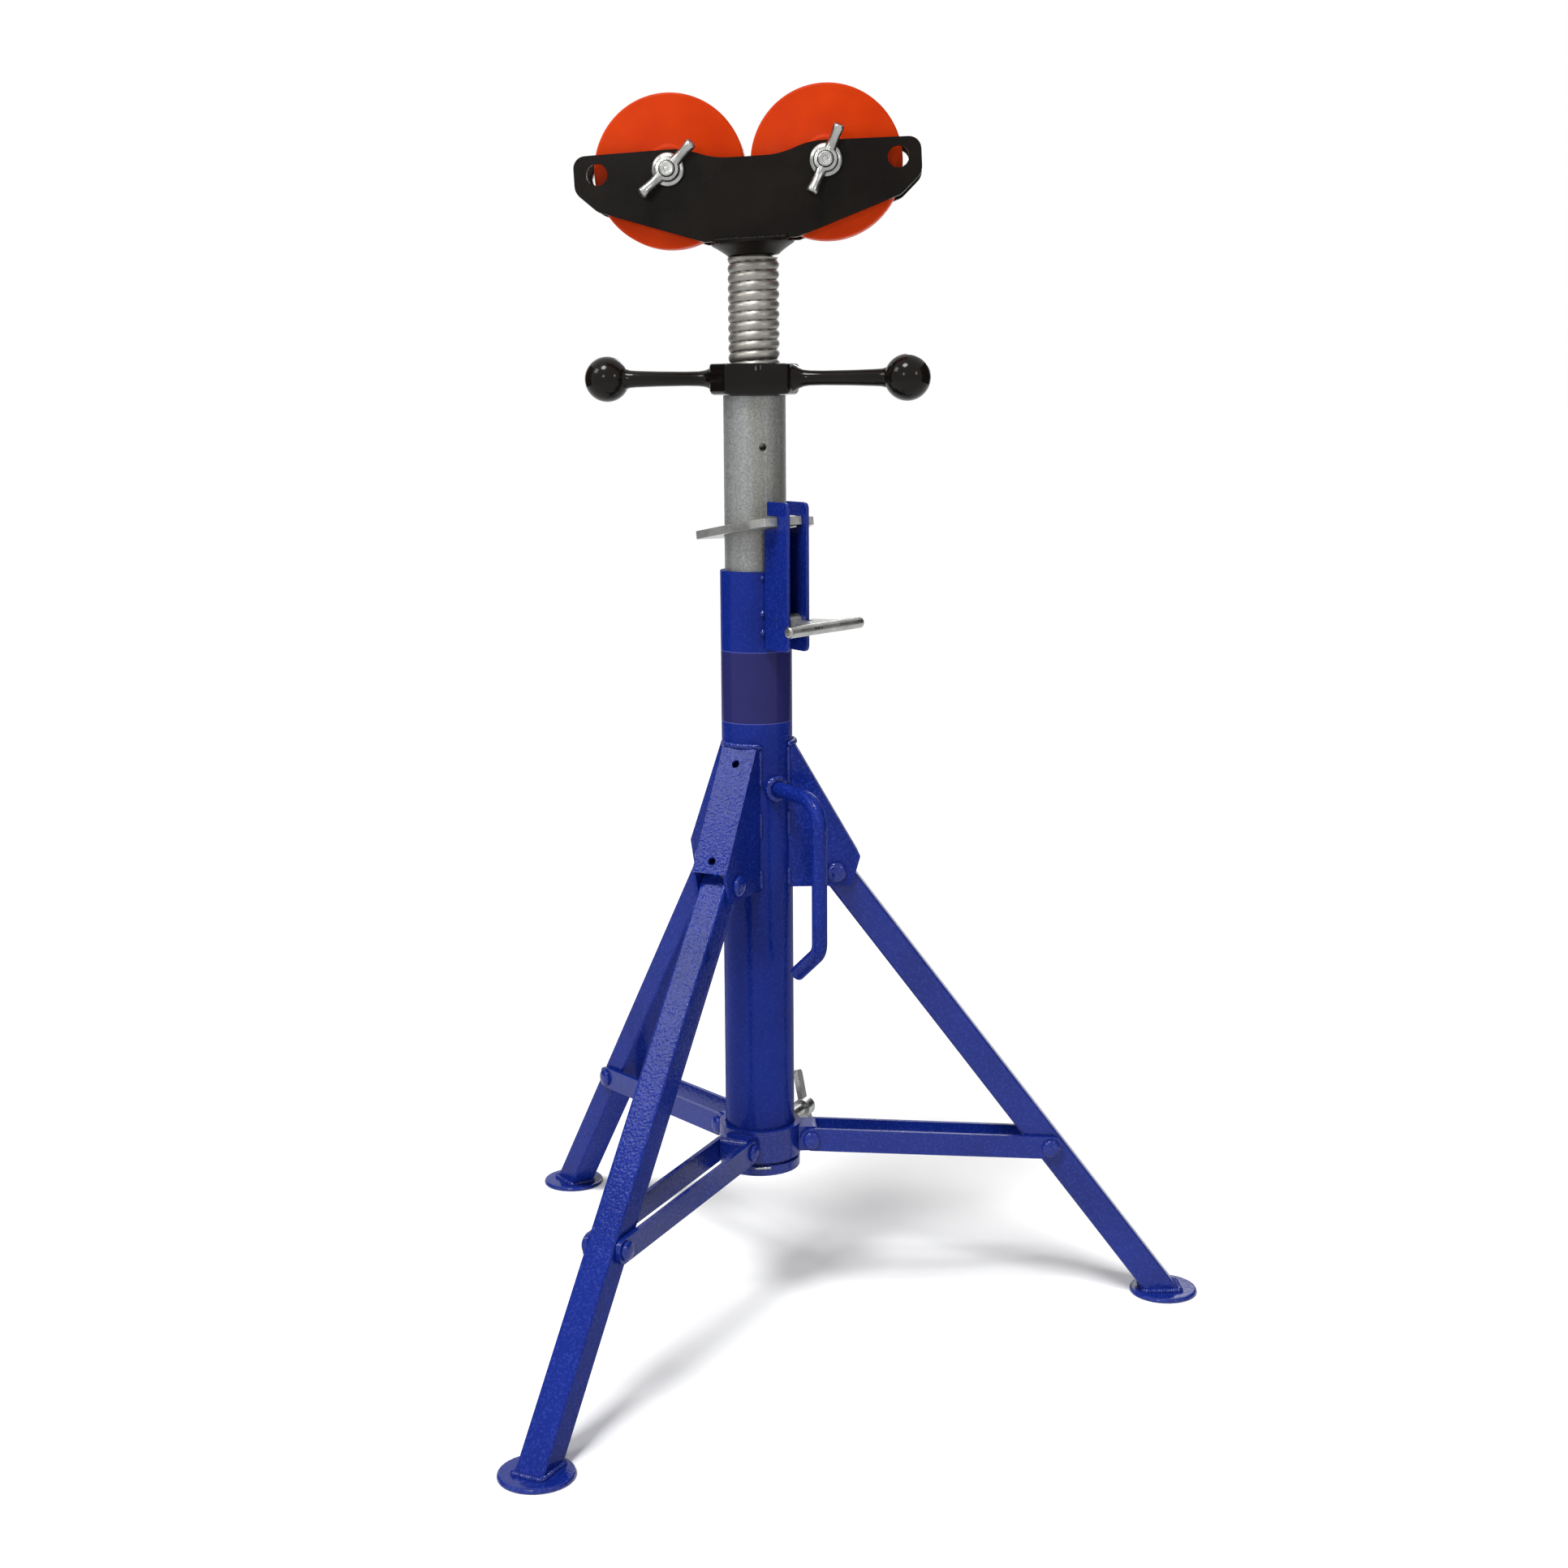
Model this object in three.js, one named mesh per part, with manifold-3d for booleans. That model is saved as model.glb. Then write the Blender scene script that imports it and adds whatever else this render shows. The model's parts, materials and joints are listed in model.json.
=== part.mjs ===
// Pipe jack stand: a folding tripod, a telescopic column held by a tilting lock plate,
// a screw jack turned by a two-armed nut, and a head with two wheels that cradle a pipe.
// Millimetres, +Z up. The floor is z = 0 and the origin lies below the middle of the footprint.
import * as THREE from 'three';
import { mergeVertices } from 'three/addons/utils/BufferGeometryUtils.js';
import Module from 'manifold-3d';

const wasm = await Module();
wasm.setup();
const degrees = THREE.MathUtils.degToRad;

// Clearances and the allowance by which cutters run past what they cut
const seatGap = 0.3;
const slideGap = 0.5;
const overrun = 8;

// Round pieces: number of flat facets, and steps on a rounded corner
const roundSides = 36;
const wheelSides = 48;
const smallSides = 16;
const ballRows = 10;
const cornerSteps = 3;
const plateSteps = 6;
const roundEndShare = 0.98;
const domeShares = [[1, 0.45], [0.75, 1]];
const weldTolerance = 1e-4;

// Outer tube and the ring round its lower end
const outerTubeDiameter = 60.3;
const outerTubeWall = 3.65;
const outerTubeBottom = 129;
const outerTubeTop = 653;
const baseRingDiameter = 70;
const baseRingHeight = 9.5;

// Inner tube, raised out of the outer tube, with one cross hole
const innerTubeDiameter = 52;
const innerTubeWall = 3.6;
const innerTubeLength = 480;
const innerTubeShown = 144.7;
const crossHoleDiameter = 6.5;
const crossHoleDrop = 42.4;
const crossHoleAzimuth = degrees(-77);

// Tripod: three legs of square tube on pivots, each on a round foot
const legAzimuths = { a: degrees(240), b: degrees(120), c: 0 };
const legSection = 25.4;
const legWall = 2;
const legCornerRadius = 2.5;
const legSplay = Math.atan(0.75);
const legPivotReach = 66.4;
const legPivotHeight = 394.8;
const legHeadLength = 14;
const pivotBoltDiameter = 10;
const boltHeadDiameter = 18;
const boltHeadHeight = 5;
const footDiameter = 60;
const footThickness = 4;
const footEdge = 1.5;

// Folded brackets that carry the leg pivots
const bracketSheet = 3;
const bracketTopRise = 110.2;
const bracketBottomDrop = 12.3;
const bracketTopReach = 31.9;
const webFootReach = 87.3;
const webFootRise = 13.2;
const cheekNoseReach = 85;
const cheekNoseRise = 5.2;
const cheekFootReach = 79.9;
const webHoleDiameter = 7;
const webHoleRises = [97.9, 22.7];

// Slide collar with three lugs, and the struts from the lugs to the legs
const collarWall = 5;
const collarClearance = 0.6;
const collarBottom = 141;
const collarHeight = 28;
const lugHeight = 22;
const lugReach = 51;
const lugCornerRadius = 5;
const strutPinReach = 44.4;
const strutPinHeight = 155;
const strutPinDiameter = 8;
const strutPinHeadDiameter = 15;
const strutPinHeadHeight = 4;
const strutPivotDistance = 315.2;
const strutBarHeight = 20;
const strutBarThickness = 4;
const strutEndCorner = 7;
const rivetHeadDiameter = 16;
const rivetHeadHeight = 4;

// Wing screw that clamps the collar to the outer tube
const wingScrewAzimuth = degrees(60);
const wingScrewTurn = degrees(16);
const wingScrewDiameter = 12;
const screwBossFlats = 19;
const screwBossReach = 46;
const wingHubDiameter = 17;
const wingHubStart = 80;
const wingHubEnd = 92;
const screwWingSpan = 34;
const screwWingThickness = 5;
const screwWingWidth = 9;
const screwWingCorner = 3.5;
const screwWingLean = 5;

// Carry handle: a bent bar welded on at its upper end, its lower end free
const handleAzimuth = degrees(-60);
const handleDiameter = 13;
const handleStartHeight = 470;
const handleBendDrop = 2.5;
const handleReach = 95.5;
const handleHookDrop = 129;
const handleEndReach = 62;
const handleEndDrop = 154;
const handleUpperBend = 22;
const handleLowerBend = 15;
const handleSides = 6;
const handleSteps = 30;

// Lock channel at the top of the outer tube: two cheeks and a web against the tube
const lockAzimuth = degrees(-60);
const lockCheekThickness = 3;
const lockChannelWidth = 21.5;
const lockChannelReach = 65.8;
const lockChannelDrop = 23;
const lockHookDepth = 11.5;
const lockCornerRadius = 5;
const lockHookReach = 35;
const lockNotchReach = 51;
const lockNotchHalf = 4.5;
const lockNotchBackDepth = 2.8;
const lockWebAboveLever = 13;
const lockWebBelowNotch = 7;
const noseWindowWidth = 18;
const noseWindowDrop = 16;
const noseWindowRise = 8;

// Lock plate: grips the inner tube when its free end drops
const lockPlateTilt = degrees(9.3);
const lockPlateThickness = 7;
const lockPlateHingeRise = 42.5;
const lockPlateRear = 37.5;
const lockPlateRearHalf = 38;
const lockPlateShoulder = 37;
const lockPlateShoulderHalf = 31.5;
const lockPlateFront = 53;
const lockPlateFrontHalf = 24;
const lockPlateSlotRoot = 50.3;
const lockPlateTabReach = 61;
const lockPlateCorner = 4;

// Lock lever: its nose reaches through the outer tube's window to the inner tube
const leverPivotReach = 52;
const leverPivotDrop = 41;
const leverPinDiameter = 8;
const leverHubRadius = 8;
const leverPlateThickness = 6;
const leverNoseGap = 0.4;
const leverNoseLowHeight = 3.5;
const leverNoseTopHeight = 5.5;
const leverNoseTopSetback = 3.1;
const leverSlotRoot = 72;
const leverEarBack = 57;
const leverEarHalf = 21.6;
const leverNearCorner = 20.9;
const leverFarCorner = 41;
const leverRodDiameter = 9.6;
const leverRodNearReach = 101;
const leverRodNearSide = 33.6;
const leverRodFarReach = 90;
const leverRodFarSide = 45.6;
const leverRodRise = 3;

// Jack screw: rounded thread, one turn per pitch, with a plain spigot on top
const threadPitch = 8;
const threadCrestRadius = 21.25;
const threadRootRadius = 19.25;
const threadClearance = 0.8;
const threadSides = 14;
const threadRowsPerTurn = 4;
const spareTurns = 2;
const stemEngaged = 95;
const stemShown = 86.9;
const spigotRadius = 16;

// Adjusting nut: octagonal hub, two tapered arms and a ball on each
const nutHeight = 25.6;
const nutCornerRadius = 37.5;
const nutSides = 8;
const nutUpperChamfer = 2;
const nutLowerChamfer = 3.5;
const nutAzimuth = degrees(-20);
const nutArmHubDiameter = 11.7;
const nutArmBallDiameter = 14.5;
const nutArmHeight = 13.5;
const nutBallDiameter = 38;
const nutBallReach = 131;

// Head: funnel loose on the spigot, leaning a little, two plates, two wheels on bolts
const headAzimuth = degrees(-5.8);
const headLean = degrees(2.8);
const funnelNeckRadius = 21.5;
const funnelRimRadius = 34.3;
const funnelRimThickness = 2;
const funnelHeight = 11.5;
const headPlateThickness = 6;
const headPlateSpacing = 32;
const saddleHalf = 26;
const saddleRise = 77.3;
const saddleRadius = 70;
const shoulderHalf = 52;
const shoulderRise = 86.5;
const shoulderRadius = 60;
const plateHalfLength = 141;
const plateEndTopRise = 85;
const plateEndCorner = 10;
const plateEndBottomRise = 56.5;
const plateChinHalf = 123.5;
const plateChinRise = 40.5;
const plateChinRadius = 12;
const plateFootHalf = 38;
const endHoleDiameter = 17.5;
const endHoleHalf = 122.2;
const endHoleRise = 69.9;
const axleHalfSpacing = 64;
const axleRise = 70.4;

// Wheels with their bushes, washers, bolts and wing nuts
const wheelRadius = 61.8;
const wheelWidth = 24;
const wheelBossRadius = 18;
const wheelBossWidth = 28;
const bushDiameter = 20;
const axleDiameter = 12;
const washerDiameter = 32;
const washerThickness = 1.2;
const boltHexFlats = 19;
const boltHexHeight = 8;
const axleTipLength = 14;
const wingNutFlangeRadius = 12.5;
const wingNutNeckRadius = 9.5;
const wingNutFlangeHeight = 4;
const wingNutHeight = 11;
const wingNutSpan = 29;
const wingNutWingLow = 5;
const wingNutWingHigh = 15;
const wingNutWingThickness = 5;
const wingNutWingCorner = 3.5;
const wingNutTurns = { left: degrees(41), right: degrees(64) };

// Sizes worked out from the driving dimensions
const outerTubeRadius = outerTubeDiameter / 2;
const innerTubeRadius = innerTubeDiameter / 2;
const legDirection = { reach: Math.sin(legSplay), height: -Math.cos(legSplay) };
const footReach = legPivotReach + legPivotHeight * Math.tan(legSplay);
const originShift = -footReach / 4;
const bracketTop = legPivotHeight + bracketTopRise;
const bracketBottom = legPivotHeight - bracketBottomDrop;
const webFootHeight = legPivotHeight + webFootRise;
const bracketInnerHalf = legSection / 2 + slideGap;
const bracketOuterHalf = bracketInnerHalf + bracketSheet;
const webSlope = (webFootReach - bracketTopReach) / (bracketTop - webFootHeight);
const collarBoreRadius = outerTubeRadius + collarClearance;
const collarRadius = collarBoreRadius + collarWall;
const strutInnerHalf = legSection / 2 + slideGap;
const strutOuterHalf = strutInnerHalf + strutBarThickness;
const strutLegPivot = pointOnLeg(strutPivotDistance);
const lockCheekInner = lockChannelWidth / 2 - lockCheekThickness;
const lockPlateHingeHeight = outerTubeTop + lockPlateHingeRise;
const lockNotchFloor = lockPlateHingeHeight - lockNotchHalf;
const lockHookBottom = lockPlateHingeHeight + lockNotchHalf;
const lockChannelTop = lockHookBottom + lockHookDepth;
const leverPivotHeight = outerTubeTop - leverPivotDrop;
const lockChannelBottom = leverPivotHeight - lockChannelDrop;
const innerTubeTop = outerTubeTop + innerTubeShown;
const nutBottom = innerTubeTop + seatGap;
const nutTop = nutBottom + nutHeight;
const stemBottom = nutBottom - stemEngaged;
const stemShoulder = nutTop + stemShown;
const headPlateInner = headPlateSpacing / 2;
const headPlateOuter = headPlateInner + headPlateThickness;
const funnelTop = stemShoulder + funnelHeight;
const leanHeight = stemShoulder + funnelHeight / 2;

// Paints and metals
const bluePaint = finish(0x2c2f9e, 0.35, 0.1);
const zinc = finish(0xc9ccce, 0.32, 0.9);
const galvanised = finish(0xa9adad, 0.45, 0.8);
const blackPaint = finish(0x17171a, 0.25, 0.1);
const orangeWheel = finish(0xd63e10, 0.4, 0);

function finish(color, roughness, metalness) {
  return new THREE.MeshStandardMaterial({ color, roughness, metalness });
}

// A point on a leg's centreline, given its distance down the leg from the pivot
function pointOnLeg(distance) {
  return {
    reach: legPivotReach + legDirection.reach * distance,
    height: legPivotHeight + legDirection.height * distance,
  };
}

// Solids: a closed geometry becomes a manifold, and the manifold becomes a geometry again
function toSolid(geometry) {
  const bare = geometry.clone();
  bare.deleteAttribute('normal');
  bare.deleteAttribute('uv');
  const merged = mergeVertices(bare, weldTolerance);
  const index = merged.index.array;
  const faces = [];
  for (let i = 0; i < index.length; i += 3) {
    const [a, b, c] = index.slice(i, i + 3);
    if (a !== b && b !== c && c !== a) faces.push(a, b, c);
  }
  return new wasm.Manifold(new wasm.Mesh({
    numProp: 3,
    vertProperties: new Float32Array(merged.attributes.position.array),
    triVerts: new Uint32Array(faces),
  }));
}

function toGeometry(manifold) {
  const { vertProperties, triVerts, numProp } = manifold.getMesh();
  const geometry = new THREE.BufferGeometry();
  geometry.setAttribute('position', new THREE.BufferAttribute(new Float32Array(vertProperties), numProp));
  geometry.setIndex(new THREE.BufferAttribute(new Uint32Array(triVerts), 1));
  geometry.computeVertexNormals();
  return geometry;
}

// One closed body: all the parts joined, less all the cutters
function carve(parts, cutters = []) {
  const joined = parts.map(toSolid).reduce((all, part) => all.add(part));
  return toGeometry(cutters.map(toSolid).reduce((rest, cutter) => rest.subtract(cutter), joined));
}

// The curve that rounds the corner between two straight stretches
function roundCorner(before, corner, after, radius) {
  const back = before.clone().sub(corner).normalize();
  const ahead = after.clone().sub(corner).normalize();
  const turn = Math.PI - back.angleTo(ahead);
  const tangent = radius * Math.tan(turn / 2);
  const handle = tangent - radius * (4 / 3) * Math.tan(turn / 4);
  return {
    start: corner.clone().addScaledVector(back, tangent),
    startHandle: corner.clone().addScaledVector(back, handle),
    endHandle: corner.clone().addScaledVector(ahead, handle),
    end: corner.clone().addScaledVector(ahead, tangent),
  };
}

// A closed outline through corners written as [across, up, radius]
function outline(corners) {
  const points = corners.map(([across, up]) => new THREE.Vector3(across, up, 0));
  const shape = new THREE.Shape();
  corners.forEach(([across, up, radius = 0], i) => {
    const draw = i === 0 ? 'moveTo' : 'lineTo';
    if (radius === 0) {
      shape[draw](across, up);
      return;
    }
    const after = points[(i + 1) % points.length];
    const { start, startHandle, endHandle, end } = roundCorner(points.at(i - 1), points[i], after, radius);
    shape[draw](start.x, start.y);
    shape.bezierCurveTo(startHandle.x, startHandle.y, endHandle.x, endHandle.y, end.x, end.y);
  });
  shape.closePath();
  return shape;
}

function circleHole(shape, across, up, radius) {
  const angles = Array.from({ length: smallSides }, (_, side) => (side / smallSides) * 2 * Math.PI);
  shape.holes.push(new THREE.Path(angles.map((angle) =>
    new THREE.Vector2(across + radius * Math.cos(angle), up + radius * Math.sin(angle)))));
}

// Slab: an outline drawn in reach and height, extruded sideways from one side to the other
function slab(shape, from, to, curveSegments = cornerSteps) {
  const geometry = new THREE.ExtrudeGeometry(shape, { depth: to - from, bevelEnabled: false, curveSegments });
  return geometry.rotateX(Math.PI / 2).translate(0, to, 0);
}

// Sheet: an outline drawn in plan, extruded upwards
function sheet(shape, bottom, top) {
  const depth = top - bottom;
  const geometry = new THREE.ExtrudeGeometry(shape, { depth, bevelEnabled: false, curveSegments: cornerSteps });
  return geometry.translate(0, 0, bottom);
}

function box(reach, side, height) {
  const size = [reach, side, height].map(([low, high]) => high - low);
  const middle = [reach, side, height].map(([low, high]) => (low + high) / 2);
  return new THREE.BoxGeometry(...size).translate(...middle);
}

// Turned pieces: a profile of [radius, height] runs counter-clockwise, standing on the column axis
function turned(profile, sides = roundSides) {
  const points = profile.map(([radius, height]) => new THREE.Vector2(radius, height));
  return new THREE.LatheGeometry(points, sides).rotateX(Math.PI / 2).rotateZ(Math.PI / 2);
}

function turnedRing(innerRadius, outerRadius, bottom, top, sides) {
  const profile = [[innerRadius, bottom], [outerRadius, bottom], [outerRadius, top], [innerRadius, top]];
  return turned([...profile, profile[0]], sides);
}

function post(radius, bottom, top, sides = roundSides) {
  return turned([[0, bottom], [radius, bottom], [radius, top], [0, top]], sides);
}

// The same pieces laid along the sideways direction, at a reach and height
function sideways(geometry, reach, height) {
  return geometry.rotateX(-Math.PI / 2).translate(reach, 0, height);
}

function crossPin(radius, from, to, reach, height, sides = smallSides) {
  return sideways(post(radius, from, to, sides), reach, height);
}

// A bolt or rivet head with a domed top, on a face of a piece; side is 1 or -1
function domedHead(radius, height, face, side) {
  const dome = domeShares.map(([radiusShare, heightShare]) => [radius * radiusShare, height * heightShare]);
  const head = turned([[0, 0], [radius, 0], ...dome, [0, height]], smallSides);
  return (side > 0 ? head : head.rotateX(Math.PI)).translate(0, 0, side * face);
}

// A through pin with a domed head at both ends, along the sideways direction
function headedPin(shankRadius, headRadius, headHeight, face, reach, height) {
  const end = face + headHeight / 2;
  const heads = [1, -1].map((side) => domedHead(headRadius, headHeight, face, side));
  return sideways(carve([post(shankRadius, -end, end, smallSides), ...heads]), reach, height);
}

// Leg parts, in a frame whose x axis points out along the leg's azimuth
function legGeometry() {
  const half = legSection / 2;
  const innerHalf = half - legWall;
  const innerCorner = Math.max(legCornerRadius - legWall, seatGap);
  const square = (side, radius) => outline([[-side, -side, radius], [side, -side, radius],
    [side, side, radius], [-side, side, radius]]);
  const length = legPivotHeight / Math.cos(legSplay) + legSection;
  const tube = (side, radius, past) => sheet(square(side, radius), -length, legHeadLength + past)
    .rotateY(-legSplay).translate(legPivotReach, 0, legPivotHeight);
  const footSeat = footThickness + seatGap;
  const belowFoot = box([0, footReach + legSection * 2], [-legSection, legSection], [-length, footSeat]);
  const pivotHole = crossPin(pivotBoltDiameter / 2 + seatGap, -legSection, legSection,
    legPivotReach, legPivotHeight);
  const strutHole = crossPin(strutPinDiameter / 2 + seatGap, -legSection, legSection,
    strutLegPivot.reach, strutLegPivot.height);
  return carve([tube(half, legCornerRadius, 0)],
    [tube(innerHalf, innerCorner, overrun), belowFoot, pivotHole, strutHole]);
}

function footGeometry() {
  const radius = footDiameter / 2;
  return turned([[0, 0], [radius, 0], [radius, footThickness - footEdge],
    [radius - footEdge, footThickness], [0, footThickness]]);
}

function bracketGeometry() {
  const webReach = (height) => webFootReach - webSlope * (height - webFootHeight);
  const webInset = bracketSheet * Math.hypot(1, webSlope);
  const side = outline([[0, bracketTop], [bracketTopReach, bracketTop], [webFootReach, webFootHeight],
    [cheekNoseReach, legPivotHeight + cheekNoseRise], [cheekFootReach, bracketBottom], [0, bracketBottom]]);
  const innerTop = webFootHeight + (webFootReach - webInset) / webSlope;
  const inside = outline([[0, innerTop], [webFootReach - webInset, webFootHeight],
    [webFootReach + overrun, webFootHeight], [webFootReach + overrun, bracketBottom - overrun],
    [0, bracketBottom - overrun]]);
  const tubeSeat = post(outerTubeRadius + seatGap, bracketBottom - overrun, bracketTop + overrun);
  const pivotHole = crossPin(pivotBoltDiameter / 2 + seatGap, -bracketOuterHalf - overrun,
    bracketOuterHalf + overrun, legPivotReach, legPivotHeight);
  const webHoles = webHoleRises.map((rise) => legPivotHeight + rise).map((height) =>
    post(webHoleDiameter / 2, -overrun, overrun, smallSides)
      .rotateY(Math.PI / 2 - Math.atan(webSlope)).translate(webReach(height), 0, height));
  return carve([slab(side, -bracketOuterHalf, bracketOuterHalf)],
    [slab(inside, -bracketInnerHalf, bracketInnerHalf), tubeSeat, pivotHole, ...webHoles]);
}

function pivotBoltGeometry() {
  return headedPin(pivotBoltDiameter / 2, boltHeadDiameter / 2, boltHeadHeight,
    bracketOuterHalf + seatGap, legPivotReach, legPivotHeight);
}

function collarGeometry() {
  const collarTop = collarBottom + collarHeight;
  const ringSolid = turnedRing(collarBoreRadius, collarRadius, collarBottom, collarTop);
  const lugSide = outline([[collarBoreRadius, strutPinHeight - lugHeight / 2],
    [lugReach, strutPinHeight - lugHeight / 2, lugCornerRadius],
    [lugReach, strutPinHeight + lugHeight / 2, lugCornerRadius],
    [collarBoreRadius, strutPinHeight + lugHeight / 2]]);
  const lugs = Object.values(legAzimuths).map((azimuth) =>
    slab(lugSide, -legSection / 2, legSection / 2).rotateZ(azimuth));
  const boss = spokeRod(screwBossFlats / Math.sqrt(3), collarRadius - collarWall / 2, screwBossReach, 6)
    .rotateZ(wingScrewAzimuth);
  const pinHoles = Object.values(legAzimuths).map((azimuth) =>
    crossPin(strutPinDiameter / 2 + seatGap, -legSection, legSection, strutPinReach, strutPinHeight)
      .rotateZ(azimuth));
  const screwHole = spokeRod(wingScrewDiameter / 2 + seatGap, 0, screwBossReach + overrun, smallSides)
    .rotateZ(wingScrewAzimuth);
  const bore = post(collarBoreRadius, collarBottom - overrun, collarTop + overrun);
  return carve([ringSolid, ...lugs, boss], [bore, ...pinHoles, screwHole]);
}

// A round or hexagonal bar that points outwards at the height of the strut pins
function spokeRod(radius, from, to, sides) {
  return post(radius, from, to, sides).rotateY(Math.PI / 2).translate(0, 0, strutPinHeight);
}

function strutPinGeometry() {
  return headedPin(strutPinDiameter / 2, strutPinHeadDiameter / 2, strutPinHeadHeight,
    strutOuterHalf + seatGap, strutPinReach, strutPinHeight);
}

// One flat bar of a strut, from the collar's pin to the pivot on the leg
function strutBarGeometry(side) {
  const across = strutLegPivot.reach - strutPinReach;
  const rise = strutLegPivot.height - strutPinHeight;
  const length = Math.hypot(across, rise);
  const half = strutBarHeight / 2;
  const roundEnd = half * roundEndShare;
  const bar = outline([[-half, -half, roundEnd], [length + half, -half, strutEndCorner],
    [length + half, half, strutEndCorner], [-half, half, roundEnd]]);
  circleHole(bar, 0, 0, strutPinDiameter / 2 + seatGap);
  circleHole(bar, length, 0, strutPinDiameter / 2 + seatGap);
  const [from, to] = side > 0 ? [strutInnerHalf, strutOuterHalf] : [-strutOuterHalf, -strutInnerHalf];
  return slab(bar, from, to).rotateY(-Math.atan2(rise, across)).translate(strutPinReach, 0, strutPinHeight);
}

function strutRivetGeometry(side) {
  const face = strutOuterHalf + seatGap;
  const end = face + rivetHeadHeight / 2;
  const [from, to] = side > 0 ? [strutInnerHalf, end] : [-end, -strutInnerHalf];
  const head = domedHead(rivetHeadDiameter / 2, rivetHeadHeight, face, side);
  const rivet = carve([post(strutPinDiameter / 2, from, to, smallSides), head]);
  return sideways(rivet, strutLegPivot.reach, strutLegPivot.height);
}

function wingScrewGeometry() {
  const shank = spokeRod(wingScrewDiameter / 2, outerTubeRadius + seatGap, wingHubEnd, smallSides);
  const hub = spokeRod(wingHubDiameter / 2, wingHubStart, wingHubEnd, smallSides);
  const middle = (wingHubStart + wingHubEnd) / 2;
  const [near, far] = [middle - screwWingWidth / 2, middle + screwWingWidth / 2];
  const wing = outline([[near, 0], [far, 0], [far + screwWingLean, screwWingSpan, screwWingCorner],
    [near + screwWingLean, screwWingSpan, screwWingCorner]]);
  const half = screwWingThickness / 2;
  const wings = [0, Math.PI].map((turn) =>
    slab(wing, -half, half).rotateX(turn - wingScrewTurn).translate(0, 0, strutPinHeight));
  return carve([shank, hub, ...wings]);
}

// Column parts
function outerTubeGeometry() {
  const tube = turnedRing(outerTubeRadius - outerTubeWall, outerTubeRadius, outerTubeBottom, outerTubeTop);
  const half = noseWindowWidth / 2;
  const window = [leverPivotHeight - noseWindowDrop, leverPivotHeight + noseWindowRise];
  const noseWindow = box([0, outerTubeRadius + overrun], [-half, half], window);
  return carve([tube], [noseWindow.rotateZ(lockAzimuth)]);
}

function baseRingGeometry() {
  const top = outerTubeBottom + baseRingHeight;
  return turnedRing(outerTubeRadius + seatGap, baseRingDiameter / 2, outerTubeBottom, top);
}

function handleGeometry() {
  const corners = [[outerTubeRadius + seatGap, 0], [handleReach, handleBendDrop],
    [handleReach, handleHookDrop], [handleEndReach, handleEndDrop]]
    .map(([reach, drop]) => new THREE.Vector3(reach, 0, handleStartHeight - drop));
  const upper = roundCorner(corners[0], corners[1], corners[2], handleUpperBend);
  const lower = roundCorner(corners[1], corners[2], corners[3], handleLowerBend);
  const path = new THREE.CurvePath();
  path.add(new THREE.LineCurve3(corners[0], upper.start));
  path.add(new THREE.CubicBezierCurve3(upper.start, upper.startHandle, upper.endHandle, upper.end));
  path.add(new THREE.LineCurve3(upper.end, lower.start));
  path.add(new THREE.CubicBezierCurve3(lower.start, lower.startHandle, lower.endHandle, lower.end));
  path.add(new THREE.LineCurve3(lower.end, corners[3]));
  const section = new THREE.Shape().absarc(0, 0, handleDiameter / 2, 0, 2 * Math.PI);
  return new THREE.ExtrudeGeometry(section, {
    extrudePath: path, steps: handleSteps, curveSegments: handleSides, bevelEnabled: false,
  });
}

function lockChannelGeometry() {
  const back = outerTubeRadius + seatGap;
  const half = lockChannelWidth / 2;
  const cheek = outline([[back, lockChannelBottom], [lockChannelReach, lockChannelBottom, lockCornerRadius],
    [lockChannelReach, lockChannelTop, lockCornerRadius], [lockHookReach, lockChannelTop],
    [lockHookReach, lockHookBottom], [lockNotchReach, lockHookBottom], [lockNotchReach, lockNotchFloor],
    [back, lockNotchFloor - lockNotchBackDepth]]);
  const inside = [-lockCheekInner, lockCheekInner];
  const past = lockChannelReach + overrun;
  const low = lockChannelBottom - overrun;
  const high = lockChannelTop + overrun;
  const pinHole = crossPin(leverPinDiameter / 2 + seatGap, -lockChannelWidth, lockChannelWidth,
    leverPivotReach, leverPivotHeight);
  return carve([slab(cheek, -half, half)], [
    box([back + lockCheekThickness, past], inside, [low, high]),
    box([0, past], inside, [low, leverPivotHeight + lockWebAboveLever]),
    box([0, past], inside, [lockNotchFloor - lockWebBelowNotch, high]),
    pinHole,
  ]);
}

function leverPinGeometry() {
  const end = lockChannelWidth / 2 - seatGap / 2;
  return crossPin(leverPinDiameter / 2, -end, end, leverPivotReach, leverPivotHeight);
}

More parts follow.
